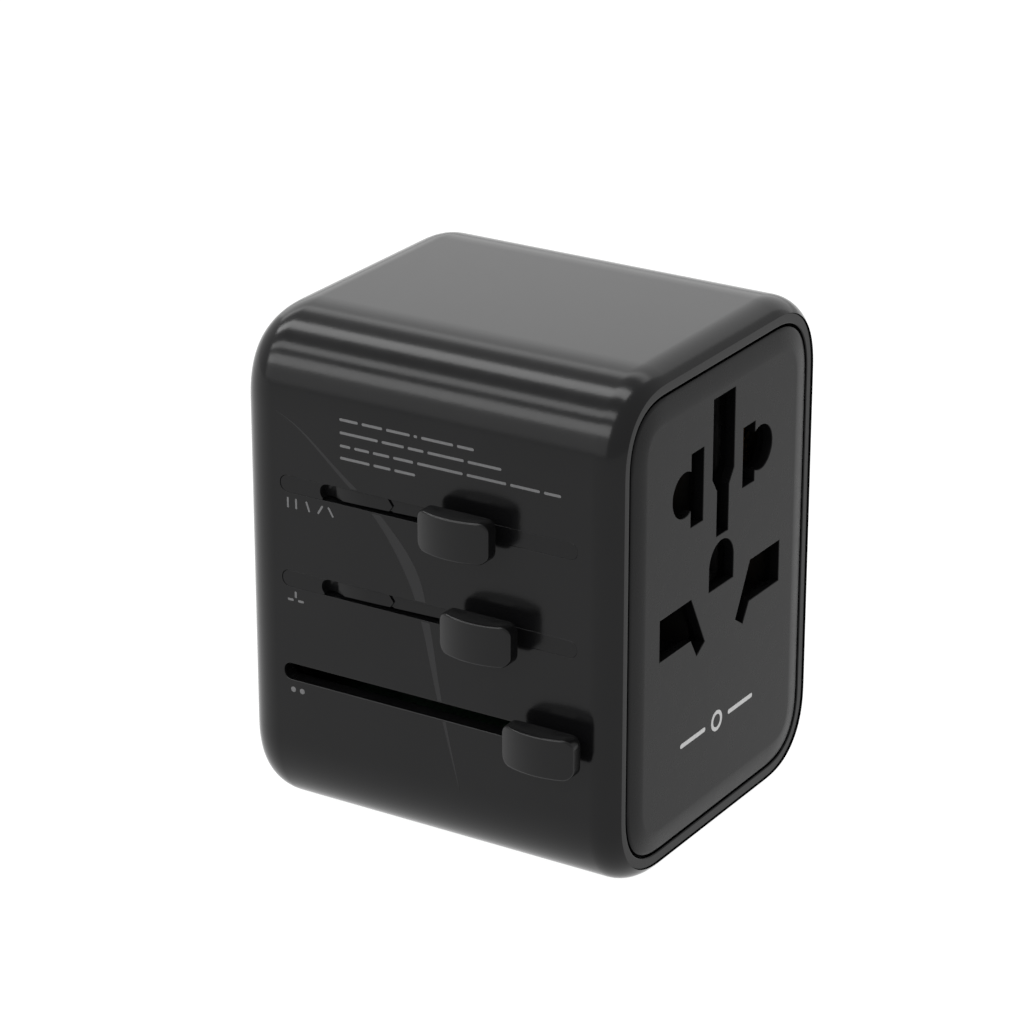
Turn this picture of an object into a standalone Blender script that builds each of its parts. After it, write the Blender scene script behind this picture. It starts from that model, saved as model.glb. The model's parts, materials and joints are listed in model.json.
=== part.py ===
"""Universal travel adapter, as an assembly of separate pieces.

Run with: blender --background --python part.py
The model is in metres with +Z up. The socket face looks along -Y, the plug pins come out along +Y,
and the three sliders ride on the -X side. The origin is at the middle of the underside.
All sizes below are in millimetres and are turned into metres where the shapes are made.
"""

import math

import bmesh
import bpy
from mathutils import Matrix, Vector

MM = 0.001

# ---- housing ----
BODY_W = 48.8
BODY_D = 54.5
BODY_H = 64.7
WALL = 2.0
EDGE_R = 9.9
FRONT_R = 4.4
BACK_R = 5.8
RING_OFFSET = 1.75
RING_DEPTH = 2.6
RING_SINK = 1.05
PANEL_OFFSET = 3.45
PANEL_SINK = 0.65
PANEL_T = 2.2
PANEL_EDGE = 0.4
RING_GAP = 0.35

# ---- clearances ----
GAP = 0.3
HAIR = 0.12
RUN_GAP = 0.4

# ---- socket holes, measured from the middle of the housing ----
SOCKET_Z = 47.75
FLAT_PIN_IN = 4.77
FLAT_PIN_OUT = 7.72
NEUTRAL_SLOT_UP = 4.65
LIVE_SLOT_UP = 3.85
ROUND_PIN_X = 9.2
ROUND_PIN_R = 2.85
EARTH_HALF_W = 2.61
EARTH_TOP = 9.81
EARTH_TAPER_TOP = -0.35
EARTH_TAPER_END = -2.1
EARTH_NARROW = 1.43
EARTH_BOTTOM = -8.01
GROUND_HALF_W = 2.97
GROUND_AXIS = -11.77
GROUND_BOTTOM = -14.69
SQUARE_PIN_IN = 7.34
SQUARE_PIN_OUT = 14.6
SQUARE_PIN_TOP = -14.01
SQUARE_PIN_BOTTOM = -19.37
SLANT_SLOT = ((7.6, -14.01), (7.2, -14.01), (3.76, -20.65), (5.65, -21.85), (7.6, -18.6))

# ---- contact carrier ----
FLANGE_T = 2.2
CARRIER_DEPTH = 14.7
CARRIER_HALF_W = 17.2
CARRIER_BOTTOM = 25.2
CARRIER_TOP = 54.4
EARTH_BLOCK_HALF_W = 6.0
EARTH_BLOCK_TOP = 59.2
STRIP_T = 0.7
SPINE_X = 15.3
POCKET_OUT = 16.3

# ---- screws ----
SCREW_INSET = 6.9
SCREW_HEAD_R = 2.1
SCREW_HEAD_T = 1.3
SCREW_SHANK_R = 1.1
SCREW_L = 8.5
BOSS_R = 2.6
BOSS_L = 9.0

# ---- sliders ----
SLOT_H = 2.15
SLOT_FROM_FRONT = 6.05
SLOT_FROM_BACK = 6.85
DETENT_L = 2.4
NOTCH_FROM_BACK = 22.35
US_Z = 44.7
UK_Z = 32.4
EU_Z = 20.05
US_KNOB_FROM_FRONT = 21.05
UK_KNOB_FROM_FRONT = 18.05
EU_KNOB_FROM_FRONT = 9.25
KNOB_L = 9.65
KNOB_H = 5.2
KNOB_T = 3.05
KNOB_PROUD = 4.8
KNOB_CORNER = 1.3
KNOB_CROWN = 1.2
NECK_L = 3.5
NECK_H = 1.35
THIN_NECK_L = 6.0
THIN_NECK_H = 0.45
SLIT_H = 0.9
LINER_SINK = 0.35
LINER_FLANGE_T = 0.7
SHOE_T = 2.8
SHOE_HALF_H = 3.0

# ---- plug pins ----
US_PIN_X = 6.35
US_BLADE_T = 1.5
US_BLADE_W = 6.35
US_BLADE_OUT = 17.95
US_BLADE_RECESS = 1.85
US_SHANK_R = 2.5
ROTOR_R = 4.6
ROTOR_FLANGE_R = 5.6
UK_PIN_X = 11.1
UK_PIN_W = 6.35
UK_PIN_H = 4.0
UK_PIN_OUT = 17.7
UK_EARTH_UP = 22.2
UK_EARTH_W = 4.0
UK_EARTH_H = 8.0
UK_EARTH_OUT = 22.4
UK_EARTH_RECESS = 0.4
EU_PIN_X = 9.5
EU_PIN_R = 2.4
EU_PIN_RECESS = 0.95
EU_BARE_PIN = 19.0
EU_SLEEVE_R = 3.6
US_CARRIAGE_T = 6.0
UK_CARRIAGE_T = 4.4
EU_CARRIAGE_T = 6.3
GUIDE_T = 2.3

# ---- supply strips ----
BUS_T = 0.8
BUS_INSET = 0.8
WIPER_T = 0.6

# ---- charger board, ports and fuse ----
BOARD_Z = 11.7
BOARD_T = 1.2
BOARD_HALF_W = 19.0
POST_X = 16.5
POST_R = 2.3
USB_A_W = 13.1
USB_A_H = 5.7
USB_C_W = 9.0
USB_C_H = 3.3
PORT_SINK = 0.4
PORT_PITCH = 7.3
USB_C_FROM_FRONT = 7.0
FUSE_X = -13.6
FUSE_Z = 53.5
FUSE_R = 2.6
FUSE_L = 20.0
FUSE_HOLDER_R = 4.2
FUSE_CAP_R = 4.3

# ---- places that follow from the sizes above ----
HALF_W = BODY_W / 2
FRONT = -BODY_D / 2
BACK = BODY_D / 2
INNER_X = HALF_W - WALL
INNER_BACK = BACK - WALL
PANEL_Y = FRONT + PANEL_SINK
FLANGE_Y = PANEL_Y + PANEL_T + GAP
CARRIER_BACK = FLANGE_Y + CARRIER_DEPTH
SLOT_FRONT = FRONT + SLOT_FROM_FRONT
SLOT_BACK = BACK - SLOT_FROM_BACK
US_KNOB_Y = FRONT + US_KNOB_FROM_FRONT
UK_KNOB_Y = FRONT + UK_KNOB_FROM_FRONT
EU_KNOB_Y = FRONT + EU_KNOB_FROM_FRONT
US_TRAVEL = US_BLADE_OUT + US_BLADE_RECESS
UK_TRAVEL = UK_EARTH_OUT + UK_EARTH_RECESS
EU_TRAVEL = SLOT_BACK - NECK_L / 2 - GAP - EU_KNOB_Y
GUIDE_BACK = INNER_BACK - GAP
GUIDE_FRONT = GUIDE_BACK - GUIDE_T
US_CARRIAGE_Y = CARRIER_BACK + 4.4
UK_CARRIAGE_END = GUIDE_FRONT - RUN_GAP - UK_TRAVEL
EU_CARRIAGE_END = GUIDE_FRONT - RUN_GAP - EU_TRAVEL
EU_CARRIAGE_Y = EU_CARRIAGE_END - EU_CARRIAGE_T
SHOE_OUT = INNER_X - 2 * GAP
SHOE_IN = SHOE_OUT - SHOE_T
BUS_OUT = INNER_X - BUS_INSET
BUS_IN = BUS_OUT - BUS_T
TAB_FRONT = CARRIER_BACK + 2.0
TAB_BACK = TAB_FRONT + BUS_T
UK_CARRIAGE_Y = max(UK_CARRIAGE_END - UK_CARRIAGE_T, TAB_BACK + RUN_GAP)
WIPER_REACH = BUS_IN - GAP
BRANCH_IN = 10.8


# ---- scene ----
def clear_scene():
    for obj in list(bpy.data.objects):
        bpy.data.objects.remove(obj, do_unlink=True)


def new_collection(name):
    collection = bpy.data.collections.new(name)
    bpy.context.scene.collection.children.link(collection)
    return collection


def material(name, colour, roughness, metallic=0.0, alpha=1.0):
    made = bpy.data.materials.new(name)
    made.use_nodes = True
    shader = made.node_tree.nodes["Principled BSDF"]
    shader.inputs["Base Color"].default_value = (*colour, 1.0)
    shader.inputs["Roughness"].default_value = roughness
    shader.inputs["Metallic"].default_value = metallic
    shader.inputs["Alpha"].default_value = alpha
    return made


clear_scene()
PARTS = new_collection("travel_adapter")
CUTTERS = new_collection("cutters")
CUTTERS.hide_render = True

BLACK = material("black_plastic", (0.012, 0.012, 0.013), 0.32)
PANEL_BLACK = material("panel_plastic", (0.014, 0.014, 0.015), 0.38)
INNER_GREY = material("inner_plastic", (0.05, 0.05, 0.055), 0.5)
WHITE = material("insulator_plastic", (0.6, 0.6, 0.57), 0.5)
BRASS = material("brass", (0.72, 0.52, 0.22), 0.3, 1.0)
NICKEL = material("nickel_plate", (0.66, 0.65, 0.62), 0.22, 1.0)
STEEL = material("steel", (0.55, 0.55, 0.56), 0.3, 1.0)
GREEN = material("circuit_board", (0.02, 0.13, 0.06), 0.45)
FERRITE = material("ferrite", (0.06, 0.055, 0.05), 0.6)
TAPE = material("winding_tape", (0.65, 0.5, 0.08), 0.5)
CAN = material("capacitor_sleeve", (0.03, 0.05, 0.12), 0.4)
GLASS = material("fuse_glass", (0.85, 0.88, 0.88), 0.05, 0.0, 0.35)


CLOSE_WALLS = ("main_shell", "front_ring", "pin_guide")


# ---- shapes ----
def place(name, bm, look, origin, rotation=None):
    """The object of a bmesh whose points are in millimetres about the origin."""
    bmesh.ops.recalc_face_normals(bm, faces=bm.faces)
    bmesh.ops.scale(bm, vec=(MM, MM, MM), verts=bm.verts)
    mesh = bpy.data.meshes.new(name)
    bm.to_mesh(mesh)
    bm.free()
    obj = bpy.data.objects.new(name, mesh)
    obj.location = Vector(origin) * MM
    if rotation:
        obj.rotation_euler = rotation
    if look:
        mesh.materials.append(look)
        PARTS.objects.link(obj)
    else:
        CUTTERS.objects.link(obj)
        obj.hide_render = True
        obj.display_type = "WIRE"
    mesh.shade_smooth()
    mesh.set_sharp_from_angle(angle=math.radians(35))
    return obj


def cube(x, y, z, origin):
    bm = bmesh.new()
    bmesh.ops.create_cube(bm, size=1.0)
    size = Vector((x[1] - x[0], y[1] - y[0], z[1] - z[0]))
    centre = Vector((x[0] + x[1], y[0] + y[1], z[0] + z[1])) / 2 - Vector(origin)
    bmesh.ops.scale(bm, vec=size, verts=bm.verts)
    bmesh.ops.translate(bm, vec=centre, verts=bm.verts)
    return bm


def bevel_edges(bm, edges, radius, segments):
    bmesh.ops.bevel(
        bm,
        geom=edges,
        offset=radius,
        offset_type="OFFSET",
        segments=segments,
        profile=0.5,
        affect="EDGES",
        clamp_overlap=True,
        material=-1,
    )


def box(name, x, y, z, look=None, edge=0.0, origin=(0, 0, 0)):
    bm = cube(x, y, z, origin)
    if edge:
        bevel_edges(bm, bm.edges[:], edge, 2)
    return place(name, bm, look, origin)


def prism(name, x, y, z, axis, radius, look=None, segments=4, origin=(0, 0, 0)):
    """A box whose four edges along one axis are rounded."""
    bm = cube(x, y, z, origin)
    along = [e for e in bm.edges if abs((e.verts[0].co - e.verts[1].co)[axis]) > 1e-6]
    bevel_edges(bm, along, radius, segments)
    return place(name, bm, look, origin)


def cylinder(name, axis, centre, radius, start, end, look=None, segments=24, tip=0.0, origin=(0, 0, 0)):
    """A rod along an axis. centre holds its two other coordinates, in X, Y, Z order."""
    bm = bmesh.new()
    bmesh.ops.create_cone(
        bm, cap_ends=True, segments=segments, radius1=radius, radius2=radius, depth=end - start
    )
    if tip:
        top = max(v.co.z for v in bm.verts)
        rim = [e for e in bm.edges if all(abs(v.co.z - top) < 1e-6 for v in e.verts)]
        bevel_edges(bm, rim, tip, 3)
    bmesh.ops.translate(bm, vec=(0, 0, (start + end) / 2), verts=bm.verts)
    if axis == 0:
        turn = Matrix.Rotation(math.radians(90), 3, "Y")
        shift = (0, centre[0], centre[1])
    elif axis == 1:
        turn = Matrix.Rotation(math.radians(-90), 3, "X")
        shift = (centre[0], 0, centre[1])
    else:
        turn = Matrix.Identity(3)
        shift = (centre[0], centre[1], 0)
    bmesh.ops.rotate(bm, cent=(0, 0, 0), matrix=turn, verts=bm.verts)
    bmesh.ops.translate(bm, vec=Vector(shift) - Vector(origin), verts=bm.verts)
    return place(name, bm, look, origin)


def outline(name, points, y):
    """A flat outline of (x, z) points, extruded from y[0] to y[1], as a mesh cutter."""
    curve = bpy.data.curves.new(name + "_curve", "CURVE")
    curve.dimensions = "2D"
    curve.fill_mode = "BOTH"
    curve.extrude = (y[1] - y[0]) / 2 * MM
    spline = curve.splines.new("POLY")
    spline.points.add(len(points) - 1)
    for point, (px, pz) in zip(spline.points, points):
        point.co = (px * MM, pz * MM, 0, 1)
    spline.use_cyclic_u = True
    guide = bpy.data.objects.new(name + "_guide", curve)
    guide.rotation_euler = (math.radians(90), 0, 0)
    guide.location = (0, (y[0] + y[1]) / 2 * MM, 0)
    CUTTERS.objects.link(guide)
    bpy.context.view_layer.update()
    evaluated = guide.evaluated_get(bpy.context.evaluated_depsgraph_get())
    mesh = bpy.data.meshes.new_from_object(evaluated)
    bm = bmesh.new()
    bm.from_mesh(mesh)
    bmesh.ops.remove_doubles(bm, verts=bm.verts, dist=1e-6)
    bmesh.ops.recalc_face_normals(bm, faces=bm.faces)
    bm.to_mesh(mesh)
    bm.free()
    obj = bpy.data.objects.new(name, mesh)
    obj.matrix_world = guide.matrix_world.copy()
    CUTTERS.objects.link(obj)
    obj.hide_render = True
    obj.display_type = "WIRE"
    bpy.data.objects.remove(guide, do_unlink=True)
    return obj


def combine(target, operation, tools):
    """Booleans on a target. Walls that run parallel and close together need the manifold solver."""
    for tool in tools:
        modifier = target.modifiers.new(operation.lower(), "BOOLEAN")
        modifier.operation = operation
        modifier.object = tool
        modifier.solver = "MANIFOLD" if target.name in CLOSE_WALLS else "EXACT"
    return target


def cut(target, *tools):
    return combine(target, "DIFFERENCE", tools)


def join(target, *tools):
    return combine(target, "UNION", tools)


def spread(side, near, far):
    """The x range of a piece between near and far on one side, low end first."""
    return (near, far) if side > 0 else (-far, -near)


def rounded_housing(name, look, inset=0.0, front=FRONT, front_r=FRONT_R):
    """The housing's outer form, or the same form inset by a wall."""
    y = (front, BACK - inset)
    bm = cube((-HALF_W + inset, HALF_W - inset), y, (inset, BODY_H - inset), (0, 0, 0))
    along = [e for e in bm.edges if abs((e.verts[0].co - e.verts[1].co).y) > 1e-6]
    bevel_edges(bm, along, EDGE_R - inset, 8)
    for level, radius, segments in ((y[0], front_r, 5), (y[1], BACK_R - inset, 5)):
        if radius:
            rim = [e for e in bm.edges if all(abs(v.co.y - level) < 1e-5 for v in e.verts)]
            bevel_edges(bm, rim, radius, segments)
    return place(name, bm, look, (0, 0, 0))


def face_prism(name, offset, y, look=None):
    """A prism along Y whose outline follows the housing's, offset inwards."""
    x = (-HALF_W + offset, HALF_W - offset)
    return prism(name, x, y, (offset, BODY_H - offset), 1, EDGE_R - offset, look, 8)


# ---- housing ----
def slot_cutter(name, z, height, back):
    x = (-HALF_W - 1, -INNER_X + 1)
    return prism(name, x, (SLOT_FRONT, back), (z - height / 2, z + height / 2), 0, height / 2 * 0.98)


def corner_points():
    """The four screw axes that hold the contact carrier."""
    inset_x = HALF_W - SCREW_INSET
    return [(sx * inset_x, z) for z in (SCREW_INSET, BODY_H - SCREW_INSET) for sx in (-1, 1)]


def post_points():
    """The four screw axes that hold the charger board."""
    return [(sx * POST_X, y) for y in (CARRIER_BACK + 2.0, INNER_BACK - 7.0) for sx in (-1, 1)]


def port_places():
    """Name, y position, width and height of each charging port."""
    first = FRONT + USB_C_FROM_FRONT
    return [
        ("usb_c_port", first, USB_C_W, USB_C_H),
        ("usb_a_port_front", first + PORT_PITCH, USB_A_W, USB_A_H),
        ("usb_a_port_rear", first + 2 * PORT_PITCH, USB_A_W, USB_A_H),
    ]


def pin_openings(prefix, y):
    """Cutters for the plug pins through a wall between two y planes."""
    made = []
    for side in (-1, 1):
        made.append(cylinder(f"{prefix}_us_{side}", 1, (side * US_PIN_X, US_Z), ROTOR_R + GAP, *y))
        x = side * UK_PIN_X
        made.append(
            box(
                f"{prefix}_uk_{side}",
                (x - UK_PIN_W / 2 - GAP, x + UK_PIN_W / 2 + GAP),
                y,
                (UK_Z - UK_PIN_H / 2 - GAP, UK_Z + UK_PIN_H / 2 + GAP),
            )
        )
        made.append(cylinder(f"{prefix}_eu_{side}", 1, (side * EU_PIN_X, EU_Z), EU_SLEEVE_R + GAP, *y))
    earth = UK_Z + UK_EARTH_UP
    made.append(
        box(
            f"{prefix}_earth",
            (-UK_EARTH_W / 2 - GAP, UK_EARTH_W / 2 + GAP),
            y,
            (earth - UK_EARTH_H / 2 - GAP, earth + UK_EARTH_H / 2 + GAP),
        )
    )
    return made


def make_shell():
    shell = rounded_housing("main_shell", BLACK)
    cut(shell, rounded_housing("cut_cavity", None, WALL, FRONT - 2.0, 0.0))
    cut(shell, face_prism("cut_ring_seat", RING_OFFSET - HAIR, (FRONT - 2, FRONT + RING_DEPTH + HAIR)))
    for index, (x, z) in enumerate(corner_points()):
        side = 1 if x > 0 else -1
        boss_y = (FLANGE_Y + FLANGE_T + HAIR, FLANGE_Y + FLANGE_T + BOSS_L)
        join(
            shell,
            cylinder(f"join_boss_{index}", 1, (x, z), BOSS_R, *boss_y),
            box(f"join_web_{index}", spread(side, abs(x), INNER_X + 0.6), boss_y, (z - 0.9, z + 0.9)),
        )
        bore_r = SCREW_SHANK_R + GAP
        cut(shell, cylinder(f"cut_boss_{index}", 1, (x, z), bore_r, boss_y[0] - 1, boss_y[1] - 1))
    for index, (x, y) in enumerate(post_points()):
        join(shell, cylinder(f"join_post_{index}", 2, (x, y), POST_R, WALL - 0.5, BOARD_Z - GAP))
        cut(shell, cylinder(f"cut_post_{index}", 2, (x, y), SCREW_SHANK_R + GAP, WALL + 1.5, BOARD_Z + 1))
    cut(
        shell,
        slot_cutter("cut_slot_us", US_Z, SLOT_H, SLOT_BACK),
        slot_cutter("cut_slot_uk", UK_Z, SLOT_H, SLOT_BACK),
        slot_cutter("cut_slot_eu", EU_Z, SLOT_H, SLOT_BACK),
        *pin_openings("cut_wall", (INNER_BACK - 1, BACK + 1)),
        cylinder("cut_fuse_cap", 1, (FUSE_X, FUSE_Z), FUSE_CAP_R + GAP, INNER_BACK - 1, BACK + 1),
    )
    for name, y, width, height in port_places():
        x = (-width / 2 - GAP, width / 2 + GAP)
        cut(shell, box("cut_" + name, x, (y - height / 2 - GAP, y + height / 2 + GAP), (-1, WALL + 1)))
    return shell


def make_front_ring():
    ring = rounded_housing("front_ring", BLACK)
    depth = (FRONT + RING_SINK, FRONT + RING_DEPTH)
    combine(ring, "INTERSECT", [face_prism("keep_ring", RING_OFFSET, depth)])
    cut(ring, face_prism("cut_ring", PANEL_OFFSET - RING_GAP, (FRONT - 2, BACK)))
    return ring


# ---- socket side ----
def socket_cutters(y):
    made = []
    for side in (-1, 1):
        up = NEUTRAL_SLOT_UP if side < 0 else LIVE_SLOT_UP
        made.append(
            box(
                f"cut_flat_pin_{side}",
                spread(side, FLAT_PIN_IN, FLAT_PIN_OUT),
                y,
                (SOCKET_Z - up, SOCKET_Z + up),
            )
        )
        made.append(cylinder(f"cut_round_pin_{side}", 1, (side * ROUND_PIN_X, SOCKET_Z), ROUND_PIN_R, *y))
        made.append(
            box(
                f"cut_square_pin_{side}",
                spread(side, SQUARE_PIN_IN, SQUARE_PIN_OUT),
                y,
                (SOCKET_Z + SQUARE_PIN_BOTTOM, SOCKET_Z + SQUARE_PIN_TOP),
            )
        )
        slant = [(side * px, SOCKET_Z + pz) for px, pz in SLANT_SLOT]
        made.append(outline(f"cut_slant_pin_{side}", slant, y))
    earth = [
        (-EARTH_HALF_W, EARTH_TOP),
        (-EARTH_HALF_W, EARTH_TAPER_TOP),
        (-EARTH_NARROW, EARTH_TAPER_END),
        (-EARTH_NARROW, EARTH_BOTTOM),
        (EARTH_NARROW, EARTH_BOTTOM),
        (EARTH_NARROW, EARTH_TAPER_END),
        (EARTH_HALF_W, EARTH_TAPER_TOP),
        (EARTH_HALF_W, EARTH_TOP),
    ]
    made.append(outline("cut_earth", [(px, SOCKET_Z + pz) for px, pz in earth], y))
    arc = [math.pi * step / 12 for step in range(13)]
    ground = [(GROUND_HALF_W * math.cos(t), GROUND_AXIS + GROUND_HALF_W * math.sin(t)) for t in arc]
    ground += [(-GROUND_HALF_W, GROUND_BOTTOM), (GROUND_HALF_W, GROUND_BOTTOM)]
    made.append(outline("cut_ground", [(px, SOCKET_Z + pz) for px, pz in ground], y))
    return made


def make_socket_panel():
    x = (-HALF_W + PANEL_OFFSET, HALF_W - PANEL_OFFSET)
    y = (PANEL_Y, PANEL_Y + PANEL_T)
    bm = cube(x, y, (PANEL_OFFSET, BODY_H - PANEL_OFFSET), (0, 0, 0))
    along = [e for e in bm.edges if abs((e.verts[0].co - e.verts[1].co).y) > 1e-6]
    bevel_edges(bm, along, EDGE_R - PANEL_OFFSET, 8)
    rim = [e for e in bm.edges if all(abs(v.co.y - y[0]) < 1e-5 for v in e.verts)]
    bevel_edges(bm, rim, PANEL_EDGE, 2)
    panel = place("socket_panel", bm, PANEL_BLACK, (0, 0, 0))
    return cut(panel, *socket_cutters((y[0] - 1, y[1] + 1)))


def make_contact_carrier():
    offset = WALL + RUN_GAP
    x = (-HALF_W + offset, HALF_W - offset)
    y = (FLANGE_Y, FLANGE_Y + FLANGE_T)
    carrier = prism("contact_carrier", x, y, (offset, BODY_H - offset), 1, EDGE_R - offset, WHITE, 6)
    block_y = (y[1] - 1, CARRIER_BACK)
    join(
        carrier,
        box("join_block", (-CARRIER_HALF_W, CARRIER_HALF_W), block_y, (CARRIER_BOTTOM, CARRIER_TOP)),
        box(
            "join_earth_block",
            (-EARTH_BLOCK_HALF_W, EARTH_BLOCK_HALF_W),
            block_y,
            (CARRIER_TOP - 1, EARTH_BLOCK_TOP),
        ),
    )
    through = (y[0] - 1, CARRIER_BACK + 1)
    base = SOCKET_Z
    for side in (-1, 1):
        flat = box(f"cut_flat_{side}", spread(side, 3.75, POCKET_OUT), through, (base - 5.35, base + 5.25))
        square_z = (base - 21.55, base - 13.15)
        square = box(f"cut_square_{side}", spread(side, 6.9, POCKET_OUT), through, square_z)
        slant = box(f"cut_slant_{side}", spread(side, 3.5, 7.2), through, (base - 21.95, base - 15.95))
        channel = box(f"cut_channel_{side}", spread(side, 14.9, POCKET_OUT), through, (base - 14, base - 5))
        cut(carrier, flat, square, slant, channel)
    cut(
        carrier,
        box("cut_earth_pocket", (-2.8, 2.8), through, (base - 8.7, base + 10.1)),
        box("cut_ground_pocket", (-3.2, 3.2), through, (base - 14.75, base - 8.3)),
    )
    for index, (px, pz) in enumerate(corner_points()):
        head_y = (y[0] - 1, y[0] + SCREW_HEAD_T + 2 * HAIR)
        cut(
            carrier,
            cylinder(f"cut_head_{index}", 1, (px, pz), SCREW_HEAD_R + GAP, *head_y),
            cylinder(f"cut_shank_{index}", 1, (px, pz), SCREW_SHANK_R + GAP, y[0] - 1, y[1] + 1),
        )
    return carrier


def make_contact(name, side):
    """One spring contact for the flat, round, square and slanted pins of one pole."""
    y = (FLANGE_Y + FLANGE_T + 0.5, CARRIER_BACK - 1.5)
    base = SOCKET_Z
    outer = SPINE_X + STRIP_T
    tail_end = TAB_FRONT - GAP
    contact = box(name, spread(side, SPINE_X, outer), (y[0], tail_end), (base - 20.75, base + 4.85), BRASS)
    top = (base + 4.85 - STRIP_T, base + 4.85)
    return join(
        contact,
        box(f"join_top_{side}", spread(side, 3.95, outer - 0.1), y, top),
        box(f"join_inner_{side}", spread(side, 3.95, 4.55), y, (base - 4.55, top[1] - 0.1)),
        box(f"join_outer_{side}", spread(side, 12.4, 13.0), y, (base - 3.75, top[1] - 0.1)),
        box(f"join_upper_{side}", spread(side, 8.0, outer - 0.1), y, (base - 13.8, base - 13.3)),
        box(f"join_lower_{side}", spread(side, 8.6, outer - 0.1), y, (base - 20.65, base - 20.1)),
    )


def screw(name, axis, centre, head_start, facing):
    """A pan-head screw. facing is +1 when the shank points along the axis, and -1 when against it."""
    head_end = head_start + facing * SCREW_HEAD_T
    shank_end = head_end + facing * SCREW_L
    low_head, high_head = sorted((head_start, head_end))
    low_shank, high_shank = sorted((head_end - facing * 0.3, shank_end))
    body = cylinder(name, axis, centre, SCREW_HEAD_R, low_head, high_head, STEEL, 20)
    join(body, cylinder("join_" + name, axis, centre, SCREW_SHANK_R, low_shank, high_shank, None, 12))
    low_slot, high_slot = sorted((head_start - facing, head_start + facing * 0.6))
    spans = [None, None, None]
    others = [i for i in range(3) if i != axis]
    spans[axis] = (low_slot, high_slot)
    spans[others[0]] = (centre[0] - 1.3, centre[0] + 1.3)
    spans[others[1]] = (centre[1] - 0.3, centre[1] + 0.3)
    return cut(body, box("cut_" + name, *spans))


# ---- supply strips ----
def make_live_bus():
    y = (TAB_FRONT, SLOT_BACK + 0.6)
    tab_y = (TAB_FRONT, TAB_BACK)
    top = SOCKET_Z + 2.85
    bus = box("bus_live", (BUS_IN, BUS_OUT), y, (EU_Z - 5.45, US_Z - 3.7), BRASS)
    return join(
        bus,
        box("join_live_tab", (SPINE_X, BUS_OUT - 0.1), tab_y, (UK_Z - 2.4, top)),
        box("join_live_strip", (BRANCH_IN, SPINE_X + 1), tab_y, (top - 4.6, top - 0.1)),
        box(
            "join_live_branch",
            (BRANCH_IN, BRANCH_IN + BUS_T),
            (TAB_FRONT + 0.1, US_CARRIAGE_Y + US_CARRIAGE_T + US_TRAVEL - 3.0),
            (US_Z - 6.0, US_Z + 4.3),
        ),
    )


def make_neutral_bus():
    x = (-BUS_OUT, -BUS_IN)
    spine_y = (GUIDE_FRONT - 0.2, GUIDE_FRONT + 0.65)
    teeth_y = (TAB_FRONT, spine_y[0] + 0.3)
    window = SHOE_HALF_H + 0.6
    levels = (
        (EU_Z - 5.45, EU_Z - window),
        (EU_Z + window, UK_Z - window),
        (UK_Z + window, US_Z - window),
        (US_Z + window, US_Z + window + 2.4),
    )
    bus = box("bus_neutral", x, spine_y, (levels[0][0], levels[-1][1]), BRASS)
    for index, z in enumerate(levels):
        join(bus, box(f"join_tooth_{index}", (x[0] + 0.05, x[1] - 0.05), teeth_y, (z[0] + 0.05, z[1] - 0.05)))
    tab_z = (levels[3][0] + 0.1, levels[3][1] - 0.1)
    tab = box("join_neutral_tab", (x[0] + 0.1, -SPINE_X), (TAB_FRONT, TAB_BACK), tab_z)
    return join(bus, tab)


def make_wiper(name, side, inner, reach, y, z):
    return box(name, spread(side, inner, reach), y, (z, z + WIPER_T), BRASS)


# ---- sliders ----
def make_knob(name, y, z, neck_l, neck_h, neck_z):
    """A crowned knob whose neck passes through the wall into the carriage's shoe."""
    outer = -HALF_W - KNOB_PROUD
    half = KNOB_L / 2
    x = (outer, outer + KNOB_T)
    knob = prism(name, x, (y - half, y + half), (z - KNOB_H / 2, z + KNOB_H / 2), 0, KNOB_CORNER, BLACK, 4)
    radius = (half**2 + KNOB_CROWN**2) / (2 * KNOB_CROWN)
    crown_x = (outer - 1, outer + KNOB_CROWN + 0.3)
    shave = box("cut_" + name, crown_x, (y - half - 1, y + half + 1), (z - KNOB_H, z + KNOB_H))
    crown_z = (z - KNOB_H - 1, z + KNOB_H + 1)
    cut(shave, cylinder("cut_crown_" + name, 2, (outer + radius, y), radius, *crown_z, None, 96))
    neck_x = (x[1] - 0.6, -SHOE_IN - 1.0)
    neck = box(
        "join_" + name,
        neck_x,
        (y - neck_l / 2, y + neck_l / 2),
        (neck_z - neck_h / 2, neck_z + neck_h / 2),
    )
    return join(cut(knob, shave), neck)


def neck_socket(name, y, neck_l, neck_h, neck_z):
    return box(
        name,
        (-SHOE_OUT - 1, -SHOE_IN - 1.0 + GAP),
        (y - neck_l / 2 - GAP, y + neck_l / 2 + GAP),
        (neck_z - neck_h / 2 - GAP, neck_z + neck_h / 2 + GAP),
    )


def thin_neck_z(z):
    return z - SLOT_H / 2 + SLIT_H / 2


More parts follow.
